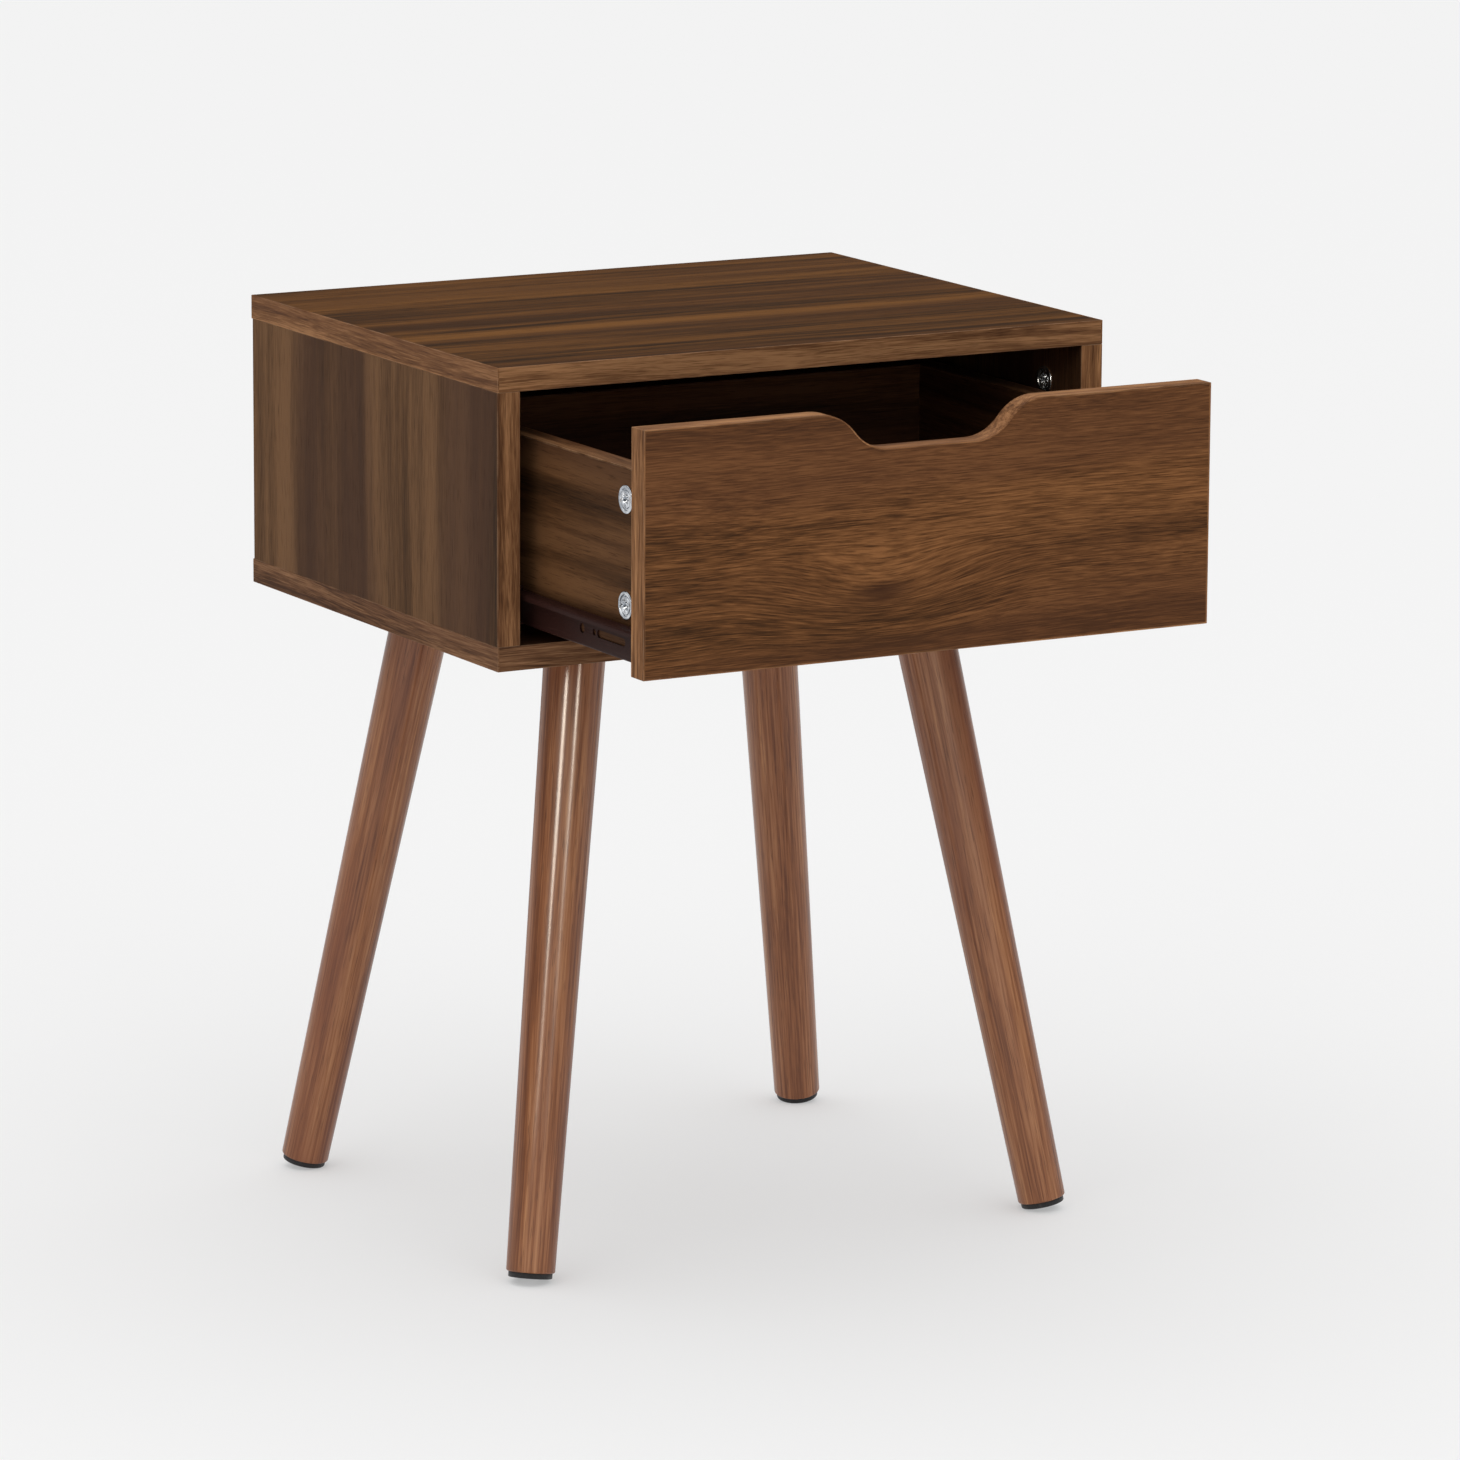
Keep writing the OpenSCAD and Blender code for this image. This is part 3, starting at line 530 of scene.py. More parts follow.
def padFelt():
    material, tree = newMaterial("padFelt")
    spot = objectSpot(tree)
    fibres = noise(tree, stretch(tree, spot, (2400, 2400, 2400)), 4, 0.7).outputs["Fac"]
    dust = noise(tree, stretch(tree, spot, (260, 260, 260)), 3).outputs["Fac"]
    colour = ramp(tree, fibres, [(0.35, tint(20, 20, 22)), (0.7, tint(52, 51, 53))])
    colour = blend(tree, remap(tree, dust, 0.58, 0.75, 0, 0.25), colour, tint(96, 92, 88))
    surface(tree, {
        "Base Color": colour, "Roughness": 0.92, "Specular IOR Level": 0.2, "Sheen Weight": 0.25,
        "Normal": bump(tree, fibres, 0.3 * mm, 0.8),
    })
    return material


def clearSelection():
    if bpy.context.active_object and bpy.context.active_object.mode != "OBJECT":
        bpy.ops.object.mode_set(mode="OBJECT")
    bpy.ops.object.select_all(action="DESELECT")


def pickOnly(piece):
    clearSelection()
    piece.select_set(True)
    bpy.context.view_layer.objects.active = piece


def pickParts(piece, kind, test):
    # selects faces by middle and normal, or edges by their two ends, and leaves the piece in edit mode
    pickOnly(piece)
    mesh = piece.data
    bpy.context.tool_settings.mesh_select_mode = (False, kind == "edges", kind == "faces")
    for group in (mesh.vertices, mesh.edges, mesh.polygons):
        group.foreach_set("select", [False] * len(group))
    if kind == "faces":
        for face in mesh.polygons:
            face.select = test(face.center, face.normal)
    else:
        for edge in mesh.edges:
            edge.select = test(*(mesh.vertices[i].co for i in edge.vertices))
    bpy.ops.object.mode_set(mode="EDIT")


def drawLine(name, points):
    # a plane shrunk to a point and pulled out into a line of edges
    clearSelection()
    points = [Vector(p) for p in points]
    bpy.ops.mesh.primitive_plane_add(size=1 * mm, location=points[0])
    piece = bpy.context.active_object
    piece.name = name
    bpy.ops.object.mode_set(mode="EDIT")
    bpy.context.tool_settings.mesh_select_mode = (True, False, False)
    bpy.ops.mesh.select_all(action="SELECT")
    bpy.ops.mesh.merge(type="CENTER")
    for start, end in zip(points, points[1:]):
        bpy.ops.mesh.extrude_region_move(TRANSFORM_OT_translate={"value": end - start})
    bpy.ops.object.mode_set(mode="OBJECT")
    bpy.ops.object.transform_apply(location=True)
    return piece


def turned(name, outline, steps=40):
    # outline: radius and height of each corner, in millimetres, spun about the upright axis
    piece = drawLine(name, [(radius * mm, 0, height * mm) for radius, height in outline])
    bpy.ops.object.mode_set(mode="EDIT")
    bpy.ops.mesh.select_all(action="SELECT")
    bpy.ops.mesh.spin(steps=steps, angle=2 * math.pi, center=(0, 0, 0), axis=(0, 0, 1))
    bpy.ops.mesh.select_all(action="SELECT")
    bpy.ops.mesh.remove_doubles(threshold=0.001 * mm)
    bpy.ops.mesh.normals_make_consistent(inside=False)
    bpy.ops.object.mode_set(mode="OBJECT")
    return piece


def useModifier(piece, kind, **settings):
    pickOnly(piece)
    modifier = piece.modifiers.new(kind.lower(), kind)
    for key, value in settings.items():
        setattr(modifier, key, value)
    bpy.ops.object.modifier_apply(modifier=modifier.name)


def cut(piece, cutter, operation="DIFFERENCE"):
    useModifier(piece, "BOOLEAN", object=cutter, operation=operation, solver="EXACT")
    bpy.data.objects.remove(cutter)


def block(corner, opposite):
    # a box between two corners, to cut with or to build from
    clearSelection()
    corner, opposite = Vector(corner), Vector(opposite)
    bpy.ops.mesh.primitive_cube_add(size=1, location=(corner + opposite) / 2)
    piece = bpy.context.active_object
    piece.scale = [abs(v) for v in opposite - corner]
    bpy.ops.object.transform_apply(location=True, scale=True)
    return piece


def rod(start, end, radius, sides=32):
    clearSelection()
    start, end = Vector(start), Vector(end)
    way = end - start
    spot = (start + end) / 2
    bpy.ops.mesh.primitive_cylinder_add(vertices=sides, radius=radius, depth=way.length, location=spot)
    piece = bpy.context.active_object
    piece.rotation_euler = way.to_track_quat("Z", "Y").to_euler()
    bpy.ops.object.transform_apply(location=True, rotation=True)
    return piece


def ease(piece, width, segments=2, angle=35):
    # takes the sharpness off every hard edge
    useModifier(piece, "BEVEL", width=width, segments=segments, limit_method="ANGLE",
                angle_limit=math.radians(angle), use_clamp_overlap=True)


def smooth(piece, angle=32):
    pickOnly(piece)
    bpy.ops.object.shade_smooth_by_angle(angle=math.radians(angle))


def settle(piece, spot, direction, turn=0.0):
    # stands a piece that was made upright at the origin on its spot, and leaves the object at the origin
    pickOnly(piece)
    aimed = direction.to_track_quat("Z", "Y").to_matrix().to_4x4()
    piece.matrix_world = Matrix.Translation(spot) @ aimed @ Matrix.Rotation(turn, 4, "Z")
    bpy.ops.object.transform_apply(location=True, rotation=True, scale=True)


def gang(name, master, places):
    # one copy of the master, with its own mesh, at each place: spot, direction and turn
    made = []
    for spot, direction, turn in places:
        pickOnly(master)
        bpy.ops.object.duplicate()
        copy = bpy.context.active_object
        settle(copy, Vector(spot), direction, turn)
        made.append(copy)
    bpy.data.objects.remove(master)
    clearSelection()
    for copy in made:
        copy.select_set(True)
    bpy.context.view_layer.objects.active = made[0]
    bpy.ops.object.join()
    piece = bpy.context.active_object
    piece.name = name
    return piece


def mirrored(piece, name):
    pickOnly(piece)
    bpy.ops.object.duplicate()
    copy = bpy.context.active_object
    copy.name = name
    copy.scale.x = -1
    bpy.ops.object.transform_apply(scale=True)
    bpy.ops.object.mode_set(mode="EDIT")
    bpy.ops.mesh.select_all(action="SELECT")
    bpy.ops.mesh.normals_make_consistent(inside=False)
    bpy.ops.object.mode_set(mode="OBJECT")
    return copy


def finishPiece(piece, material, body, node):
    piece.data.materials.clear()
    piece.data.materials.append(material)
    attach(piece, body)
    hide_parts(node)


def fitGang(name, master, places, material, body, node, angle=32):
    # copies of one fitting, joined into the piece that replaces a node
    piece = gang(name, master, places)
    smooth(piece, angle)
    finishPiece(piece, material, body, node)


print("frame and helpers ready")


boardEdge = {"width": 0.35 * mm, "segments": 2, "angle": 50}

boards = {
    # grain, offset along and across the grain, figure, tone
    "top_panel": ("x", (0.37, 0.11, 0.02), "banded", (0.84, 0.77, 0.42)),
    "bottom_panel": ("x", (1.20, 0.64, 0.30), "plain", (0.85, 0.85, 0.85)),
    "left_side_panel": ("z", (2.31, 0.43, 0.77), "quiet", (0.90, 1.04, 1.15)),
    "right_side_panel": ("z", (3.10, 0.92, 0.13), "quiet", (0.95, 1.00, 1.08)),
    "back_panel": ("x", (4.40, 0.21, 0.51), "plain", (1.2, 1.5, 1.8)),
    "drawer_front": ("x", (5.27, 0.35, 0.62), "lined", (1.27, 1.22, 1.06)),
    "drawer_left_side": ("y", (6.15, 0.83, 0.44), "soft", (0.76, 0.80, 0.80)),
    "drawer_right_side": ("y", (7.40, 0.18, 0.26), "soft", (0.80, 0.82, 0.82)),
    "drawer_back": ("x", (8.32, 0.57, 0.71), "plain", (0.86, 0.86, 0.86)),
    "drawer_bottom": ("x", (9.05, 0.29, 0.38), "plain", (0.82, 0.82, 0.82)),
}

strips = {
    # grain, offset, grain of the end strips and how far out they start, tone
    "top_panel_edging": ("x", (0.55, 0.19, 0.41), ("y", high("top_panel").x), (1.02, 1.02, 0.98)),
    "bottom_panel_edging": ("x", (1.45, 0.73, 0.16), ("y", high("bottom_panel").x), (0.80, 0.82, 0.88)),
    "left_side_edging": ("z", (2.80, 0.33, 0.57), None, (0.90, 0.88, 0.84)),
    "right_side_edging": ("z", (3.66, 0.49, 0.24), None, (1.10, 1.08, 1.00)),
    "drawer_front_edging": ("x", (5.63, 0.29, 0.48), ("z", high("drawer_front").x), (1.25, 1.25, 1.18)),
    # the low tone of this strip is painted shade: it is darkened to stand in for the shadow it sits in
    "drawer_box_edging": ("x", (6.61, 0.91, 0.35), ("y", -high("drawer_left_side").x), (0.66, 0.66, 0.64)),
}

swirl = {"out": -0.035, "upZ": 0.035, "reach": (0.046, 0.05, 0.016)}   # dark eye on the drawer front


def dress(node, material):
    # a CAD board keeps its shape and gets softened edges
    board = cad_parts[node]
    board.data.materials.clear()
    board.data.materials.append(material)
    board.modifiers.new("join", "WELD").merge_threshold = 0.01 * mm
    soft = board.modifiers.new("softEdges", "BEVEL")
    soft.width = boardEdge["width"]
    soft.segments = boardEdge["segments"]
    soft.limit_method = "ANGLE"
    soft.angle_limit = math.radians(boardEdge["angle"])
    soft.harden_normals = True


for node, (along, offset, look, tone) in boards.items():
    knot = None
    if node == "drawer_front":
        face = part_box(node)[0]
        knot = ((swirl["out"], face.y, face.z + swirl["upZ"]), swirl["reach"])
    dress(node, walnutFoil(node + "Foil", along, offset, node, look, tone, knot))

for node, (along, offset, ends, tone) in strips.items():
    dress(node, edgeStrip(node + "Strip", along, offset, node, ends, tone))

print("boards dressed")


leg = {
    "footRadius": 15.0,
    "topRadius": 19.0,
    "footRound": 1.2,         # radius of the foot's edge
    "spare": 10.0,            # length above the underside before the slanted cut
    "boltBore": 4.0,
    "boltDepth": 30.0,
    "sides": 64,
}


def arc(centre, radius, start, end, steps):
    # points on an arc in the outline, angles in degrees from outward towards up
    angles = [math.radians(start + (end - start) * i / steps) for i in range(steps + 1)]
    return [(centre[0] + radius * math.cos(a), centre[1] + radius * math.sin(a)) for a in angles]


def legAxis(corner):
    # foot and top of a leg's axis, from its pad and its bolt
    pad = middle(corner + "_pad")
    side = -1 if pad.x < 0 else 1
    end = -1 if pad.y < 0 else 1
    boltReach = high("leg_bolts") - Vector((1, 1, 0)) * leg["boltBore"] * mm
    top = Vector((side * boltReach.x, end * boltReach.y, undersideZ))
    rise = (top - pad).normalized()
    return pad + rise * footPad["thick"] / 2 * mm, top, rise


footPad = {"thick": 3.5, "radius": 13.5, "edge": 0.7, "recess": 4.4, "recessDepth": 2.0, "hole": 1.25}
padNail = {
    "head": 4.0, "headThick": 1.0, "dome": [(2.4, 0.12), (3.6, 0.45)],
    "shank": 1.25, "point": 3.0, "length": 16.0, "sink": 1.0,
}


def makeLeg(corner, material, count):
    foot, top, rise = legAxis(corner)
    length = (top - foot).length / mm
    slope = (leg["topRadius"] - leg["footRadius"]) / length
    full = length + leg["spare"]
    r = leg["footRound"]
    outline = [(0, 0)] + arc((leg["footRadius"] - r, r), r, -90, 0, 5)
    for share in (0.25, 0.5, 0.75, 1.0):
        outline.append((leg["footRadius"] + slope * full * share, full * share))
    outline.append((0, full))
    piece = turned("leg_" + corner, outline, leg["sides"])
    settle(piece, foot, rise)
    placed = Matrix.Translation(foot) @ rise.to_track_quat("Z", "Y").to_matrix().to_4x4()
    bpy.ops.object.mode_set(mode="EDIT")
    bpy.ops.mesh.select_all(action="SELECT")
    bpy.ops.mesh.bisect(plane_co=top, plane_no=up, use_fill=True, clear_outer=True)
    bpy.ops.object.mode_set(mode="OBJECT")
    cut(piece, rod(top + down * leg["boltDepth"] * mm, top + up * 2 * mm, leg["boltBore"] * mm))
    cut(piece, rod(foot - rise * 2 * mm, foot + rise * padNail["length"] * mm, padNail["shank"] * mm, 16))
    spots = [placed.inverted() @ v.co + Vector((0.4, 0.3, 0.7)) * count for v in piece.data.vertices]
    wood = piece.data.attributes.new("woodSpot", "FLOAT_VECTOR", "POINT")
    wood.data.foreach_set("vector", [c for spot in spots for c in spot])
    smooth(piece)
    finishPiece(piece, material, "case", corner + "_leg")


def makePad(corner, material):
    foot, _, rise = legAxis(corner)
    t, e = footPad["thick"], footPad["edge"]
    outline = [(footPad["hole"], t)] + [(footPad["radius"] - 0.3, t), (footPad["radius"], t - 0.3)]
    outline += arc((footPad["radius"] - e, e), e, 0, -90, 4)
    outline += [(footPad["recess"], 0), (footPad["recess"] - 0.3, footPad["recessDepth"]),
                (footPad["hole"], footPad["recessDepth"]), (footPad["hole"], t)]
    piece = turned("pad_" + corner, outline, 48)
    settle(piece, foot - rise * t * mm, rise)
    smooth(piece)
    finishPiece(piece, material, "case", corner + "_pad")


corners = ["front_left", "front_right", "back_left", "back_right"]
lacquer = legLacquer()
felt = padFelt()
for count, corner in enumerate(corners):
    makeLeg(corner, lacquer, count)
    makePad(corner, felt)

steel = zincPlate("zincSteel", tint(205, 205, 203), tint(160, 160, 158), 0.28)
castZinc = zincPlate("castZinc", tint(226, 229, 233), tint(150, 155, 162), 0.14)


def makeNails():
    n = padNail
    outline = [(0, 0)] + n["dome"] + [(n["head"], n["headThick"]), (n["shank"], n["headThick"])]
    outline += [(n["shank"], n["length"] - n["point"]), (0, n["length"])]
    master = turned("nail", outline, 24)
    places = []
    for corner in corners:
        foot, _, rise = legAxis(corner)
        places.append((foot - rise * (footPad["thick"] - n["sink"]) * mm, rise, 0))
    fitGang("padNails", master, places, steel, "case", "pad_nails")


makeNails()

hangerBolt = {"radius": 4.0, "root": 3.45, "pitch": 1.25, "length": 46.5, "chamfer": 1.0, "tip": 0.6}
teeNut = {
    "flange": 10.0, "flangeThick": 1.5, "round": 0.4,
    "barrel": 5.25, "bore": 4.0, "barrelLength": 13.5, "notch": 2.6,
}


def threadOutline(radius, root, pitch, start, end):
    # ridges between two heights
    points = []
    height = start
    while height + pitch <= end + 0.01:
        points += [(root, height), (radius, height + pitch / 2)]
        height += pitch
    return points + [(root, end)]


def makeLegFastenings():
    b = hangerBolt
    body = threadOutline(b["radius"], b["root"], b["pitch"], b["chamfer"], b["length"] - b["chamfer"])
    tip = b["root"] - b["tip"]
    master = turned("bolt", [(0, 0), (tip, 0)] + body + [(tip, b["length"]), (0, b["length"])], 24)
    tops = [legAxis(corner)[1] for corner in corners]
    start = down * leg["boltDepth"] * mm
    fitGang("hangerBolts", master, [(top + start, up, 0) for top in tops],
            steel, "case", "leg_bolts", 25)

    n = teeNut
    h = n["barrelLength"]
    e = n["round"]
    edge, bore, topZ = n["flange"], n["bore"], h + n["flangeThick"]
    outline = [(bore, 0), (n["barrel"], 0), (n["barrel"], h), (edge - e, h), (edge, h + e)]
    outline += [(edge, topZ - e), (edge - e, topZ), (bore + e, topZ), (bore, topZ - e), (bore, 0)]
    master = turned("teeNut", outline, 40)
    for quarter in range(4):
        way = Vector((math.cos(quarter * math.pi / 2), math.sin(quarter * math.pi / 2), 0))
        spot = way * n["flange"] * mm
        cut(master, rod(spot + up * (h - 0.2) * mm, spot + up * (h + 4) * mm, n["notch"] * mm, 16))
    startZ = floorZ - n["barrelLength"] * mm
    fitGang("teeNuts", master, [(Vector((top.x, top.y, startZ)), up, 0) for top in tops],
            steel, "case", "leg_nuts")


makeLegFastenings()
print("legs made")


camNut = {
    "radius": 7.5, "rim": 8.5, "rimThick": 0.8, "wall": 2.5,      # wall: wood left behind it
    "moat": (5.3, 6.6), "moatDepth": 0.8,                         # groove inside the rim
    "tick": (2.9, 4.9), "tickHalf": 0.5, "tickDepth": 0.8,
    "pocket": 3.5,
}

camCross = {"length": 9.4, "width": 2.5, "depth": 3.2}


def crossCutter(cross, topZ):
    # a driver's cross, tapering to its point, cut down from topZ
    arms = []
    for quarter in range(2):
        half = Vector((cross["length"], cross["width"], 0)) * mm / 2
        lowest = (topZ - cross["depth"]) * mm
        arm = block((-half.x, -half.y, lowest), (half.x, half.y, (topZ + 1) * mm))
        pickParts(arm, "faces", lambda centre, normal: normal.z < -0.5)
        bpy.ops.transform.resize(value=(0.5, 0.6, 1))
        bpy.ops.object.mode_set(mode="OBJECT")
        arm.rotation_euler.z = math.radians(45 + 90 * quarter)
        bpy.ops.object.transform_apply(rotation=True)
        arms.append(arm)
    cut(arms[0], arms[1], "UNION")
    return arms[0]


def makeCamNut():
    c = camNut
    deep = boardThick / mm - c["wall"]
    outline = [(0, -deep), (c["radius"] - 0.5, -deep), (c["radius"], 0.5 - deep), (c["radius"], 0)]
    outline += [(c["rim"], 0)] + arc((c["rim"] - 0.45, c["rimThick"] - 0.45), 0.45, 0, 90, 3)
    inner, outer = c["moat"]
    topZ = c["rimThick"]
    moatZ = topZ - c["moatDepth"]
    outline += [(outer, topZ), (outer - 0.25, moatZ), (inner + 0.25, moatZ), (inner, topZ), (0, topZ)]
    piece = turned("camNut", outline, 56)
    cut(piece, crossCutter(camCross, topZ))
    for quarter in range(4):
        # driver ticks between the arms of the cross
        near, far = c["tick"]
        tickFoot = Vector((near, -c["tickHalf"], topZ - c["tickDepth"])) * mm
        tick = block(tickFoot, Vector((far, c["tickHalf"], 2)) * mm)
        tick.rotation_euler.z = quarter * math.pi / 2
        bpy.ops.object.transform_apply(rotation=True)
        cut(piece, tick)
    middleZ = -boardThick / 2
    cut(piece, rod((0, -c["pocket"] * mm, middleZ), (0, 2 * c["radius"] * mm, middleZ), c["pocket"] * mm))
    ease(piece, 0.12 * mm, 2, 40)
    return piece


def camPlaces(faceX, outward, ys, zs, turn):
    places = []
    for side in (-1, 1):
        direction = across * side * outward
        for y in ys:
            for z in zs:
                places.append((Vector((side * faceX, y, z)), direction, turn(direction)))
    return places


rimReach = camNut["rim"] * mm
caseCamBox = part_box("case_cam_nuts")
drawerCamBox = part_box("drawer_cam_nuts")
caseFittingYs = (caseCamBox[0].y + rimReach, caseCamBox[1].y - rimReach)
caseCamZ = middle("case_cam_nuts").z
drawerCamY = middle("drawer_cam_nuts").y
drawerCamZs = (drawerCamBox[0].z + rimReach, drawerCamBox[1].z - rimReach)
sideMidX = caseFace + boardThick / 2
boxMidX = drawerFace - boardThick / 2

fitGang("caseCams", makeCamNut(), camPlaces(caseFace, -1, caseFittingYs, [caseCamZ], lambda way: 0),
        castZinc, "case", "case_cam_nuts")
places = camPlaces(drawerFace, 1, [drawerCamY], drawerCamZs, lambda way: way.x * math.pi / 2)
fitGang("drawerCams", makeCamNut(), places, castZinc, "drawer", "drawer_cam_nuts")

camBolt = {
    "thread": 3.0, "root": 2.3, "pitch": 2.0, "bite": 10.0, "tip": 1.2,
    "plain": 0.8,             # without thread at both ends
    "collar": 0.6,
    "shaft": 2.5, "neck": 1.9, "reach": 28.0, "head": 3.0, "headRound": 0.6,
    "steps": (6.0, 5.4, 3.0, 2.6),    # back from the end: shaft's end, neck from and to, head's start
}


def makeCamBolt():
    b = camBolt
    endZ = b["reach"]
    shaftEnd, neckStart, neckEnd, headStart = (endZ - step for step in b["steps"])
    outline = [(0, -b["bite"]), (b["tip"], -b["bite"])]
    outline += threadOutline(b["thread"], b["root"], b["pitch"], -b["bite"] + b["plain"], -b["plain"])
    outline += [(b["thread"], -b["collar"]), (b["thread"], 0), (b["shaft"], 0.01), (b["shaft"], shaftEnd)]
    outline += [(b["neck"], neckStart), (b["neck"], neckEnd), (b["head"], headStart)]
    outline += [(b["head"], endZ - b["headRound"]), (b["head"] - b["headRound"], endZ), (0, endZ)]
    return turned("camBolt", outline, 28)


caseSpots = [(side * sideMidX, y) for side in (-1, 1) for y in caseFittingYs]
places = [(Vector((x, y, ceilingZ)), down, 0) for x, y in caseSpots]
fitGang("caseCamBolts", makeCamBolt(), places, steel, "case", "case_cam_bolts")
places = [(Vector((side * boxMidX, boxFront, z)), back, 0) for side in (-1, 1) for z in drawerCamZs]
fitGang("drawerCamBolts", makeCamBolt(), places, steel, "drawer", "drawer_cam_bolts")

dowel = {"radius": 4.0, "flute": 0.92, "bite": 10.0, "length": 30.0, "chamfer": 1.2, "sides": 36}


def makeDowel():
    # ends chamfered, every other strip of the side pressed in as a flute
    d = dowel
    piece = rod((0, 0, -d["bite"] * mm), (0, 0, (d["length"] - d["bite"]) * mm), d["radius"] * mm, d["sides"])
    pickParts(piece, "faces", lambda centre, normal: abs(normal.z) > 0.5)
    bpy.ops.mesh.bevel(offset=d["chamfer"] * mm, segments=2, affect="EDGES")
    step = 2 * math.pi / d["sides"]

    def isGroove(start, end):
        upright = abs(start.z - end.z) > 5 * mm
        place = round(math.atan2(start.y, start.x) / step)
        return upright and place % 2 == 0

    pickParts(piece, "edges", isGroove)
    bpy.ops.transform.resize(value=(d["flute"], d["flute"], 1), center_override=(0, 0, 0))
    bpy.ops.object.mode_set(mode="OBJECT")
    return piece


beech = bareBeech()
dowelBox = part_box("case_dowels")
dowelYs = (dowelBox[0].y + dowel["radius"] * mm, dowelBox[1].y - dowel["radius"] * mm)
places = []
for side in (-1, 1):
    for y in dowelYs:
        places.append((Vector((side * sideMidX, y, ceilingZ)), down, 0))
        places.append((Vector((side * sideMidX, y, floorZ)), up, 0))
fitGang("caseDowels", makeDowel(), places, beech, "case", "case_dowels", 20)

dowelZ = middle("drawer_dowels").z
backMidY = (low("drawer_back").y + high("drawer_back").y) / 2
places = []
for side in (-1, 1):
    places.append((Vector((side * boxMidX, boxFront, dowelZ)), back, 0))
    places.append((Vector((side * (drawerFace - boardThick), backMidY, dowelZ)), across * -side, 0))
fitGang("drawerDowels", makeDowel(), places, beech, "drawer", "drawer_dowels", 20)

stepScrew = {
    "head": 5.0, "headThick": 3.0, "chamfer": 0.3, "cone": 1.2,
    "shank": 3.5, "shoulder": 0.4, "thread": 2.5,
    "root": 1.9, "pitch": 2.4, "length": 49.0, "point": 3.0, "key": 2.3, "keyDepth": 2.0,
}
panScrew = {
    "head": 3.2, "headThick": 1.8, "crown": 1.0,
    "dome": [(0, 0.5), (0.35, 1.15), (1.1, 1.6)],     # in from the head's rim, and height
    "shank": 1.75, "root": 1.25, "pitch": 1.3, "point": 3.0, "threadEnd": 0.6, "neck": 0.4,
}
backScrew = {
    "head": 3.8, "headThick": 2.2, "rim": 0.25, "shank": 2.0, "root": 1.45,
    "pitch": 1.6, "length": 40.0, "point": 4.0, "shoulder": 0.4,
    "plain": 14.0,            # shank without thread
}
driver = {"length": 4.2, "width": 0.9, "depth": 1.2}      # cross in the small screws


def makeStepScrew():
    s = stepScrew
    t = boardThick / mm
    c = s["chamfer"]
    outline = [(0, 0), (s["head"] - c, 0), (s["head"], c), (s["head"], s["headThick"] - s["cone"])]
    outline += [(s["shank"], s["headThick"]), (s["shank"], t - s["shoulder"])]
    outline += threadOutline(s["thread"], s["root"], s["pitch"], t, s["length"] - s["point"])
    piece = turned("stepScrew", outline + [(0, s["length"])], 28)
    cut(piece, rod((0, 0, -1 * mm), (0, 0, s["keyDepth"] * mm), s["key"] * mm, 6))
    return piece


def makePanScrew(shank):
    # seat of the head at height 0, thread below it
    s = panScrew
    outline = [(0, -shank)]
    outline += threadOutline(s["shank"], s["root"], s["pitch"], s["point"] - shank, -s["threadEnd"])
    outline += [(s["shank"], -s["neck"]), (s["shank"], 0), (s["head"], 0)]
    outline += [(s["head"] - inset, height) for inset, height in s["dome"]]
    piece = turned("panScrew", outline + [(s["crown"], s["headThick"]), (0, s["headThick"])], 24)
    cut(piece, crossCutter(driver, s["headThick"]))
    return piece


def makeBackScrew():
    s = backScrew
    outline = [(0, -s["length"])]
    outline += threadOutline(s["shank"], s["root"], s["pitch"], s["point"] - s["length"], -s["plain"])
    outline += [(s["shank"], s["shoulder"] - s["plain"]), (s["shank"], -s["headThick"])]
    outline += [(s["head"], -s["rim"]), (s["head"], 0), (0, 0)]
    piece = turned("backScrew", outline, 24)
    cut(piece, crossCutter(driver, 0))
    return piece


fitGang("stepScrews", makeStepScrew(), [(Vector((x, y, undersideZ)), up, 0) for x, y in caseSpots],
        steel, "case", "case_screws")

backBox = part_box("drawer_back_screws")
backZs = (backBox[0].z + backScrew["head"] * mm, backBox[1].z - backScrew["head"] * mm)
places = [(Vector((side * drawerFace, backMidY, z)), across * side, 0) for side in (-1, 1) for z in backZs]
fitGang("drawerBackScrews", makeBackScrew(), places,
        steel, "drawer", "drawer_back_screws")

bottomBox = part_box("drawer_bottom_screws")
bottomXs = (bottomBox[0].x + panScrew["head"] * mm, 0, bottomBox[1].x - panScrew["head"] * mm)
places = [(Vector((x, backMidY, low("drawer_bottom").z)), down, 0.3 * i) for i, x in enumerate(bottomXs)]
fitGang("drawerBottomScrews", makePanScrew(size("drawer_bottom").z / mm + 12), places,
        steel, "drawer", "drawer_bottom_screws")
print("fittings made")


rail = {
    "thick": 1.2, "bend": 1.0, "screwHole": 1.75, "rivetHole": 2.5,
    "lip": 3.7,                       # drop of the folded lip
    "rollerGap": 1.5,                 # the lip ends this far before the roller
    "webHoles": [(79, 3.0), (64, 2.0)],     # distance from the front, radius
    "bite": 12,                       # screw length in the wood
    "edge": 0.15,                     # softening of the cut edges
    "cutReach": 4,                    # how far a hole's cutter stands out on both sides
}
paint = railPaint()


def screwYs(node):
    # the three places along a rail
    reach = panScrew["head"] * mm
    return (low(node).y + reach, middle(node).y, high(node).y - reach)


def bendAlong(piece, spots, width):
    # rounds the sheet where it bends, at these places across and up
    def onBend(start, end):
        lengthwise = abs(start.y - end.y) > 1 * mm
        return lengthwise and any(math.hypot(start.x - x, start.z - z) < 0.3 * mm for x, z in spots)

    pickParts(piece, "edges", onBend)
    bpy.ops.mesh.bevel(offset=width, segments=4, affect="EDGES")
    bpy.ops.object.mode_set(mode="OBJECT")


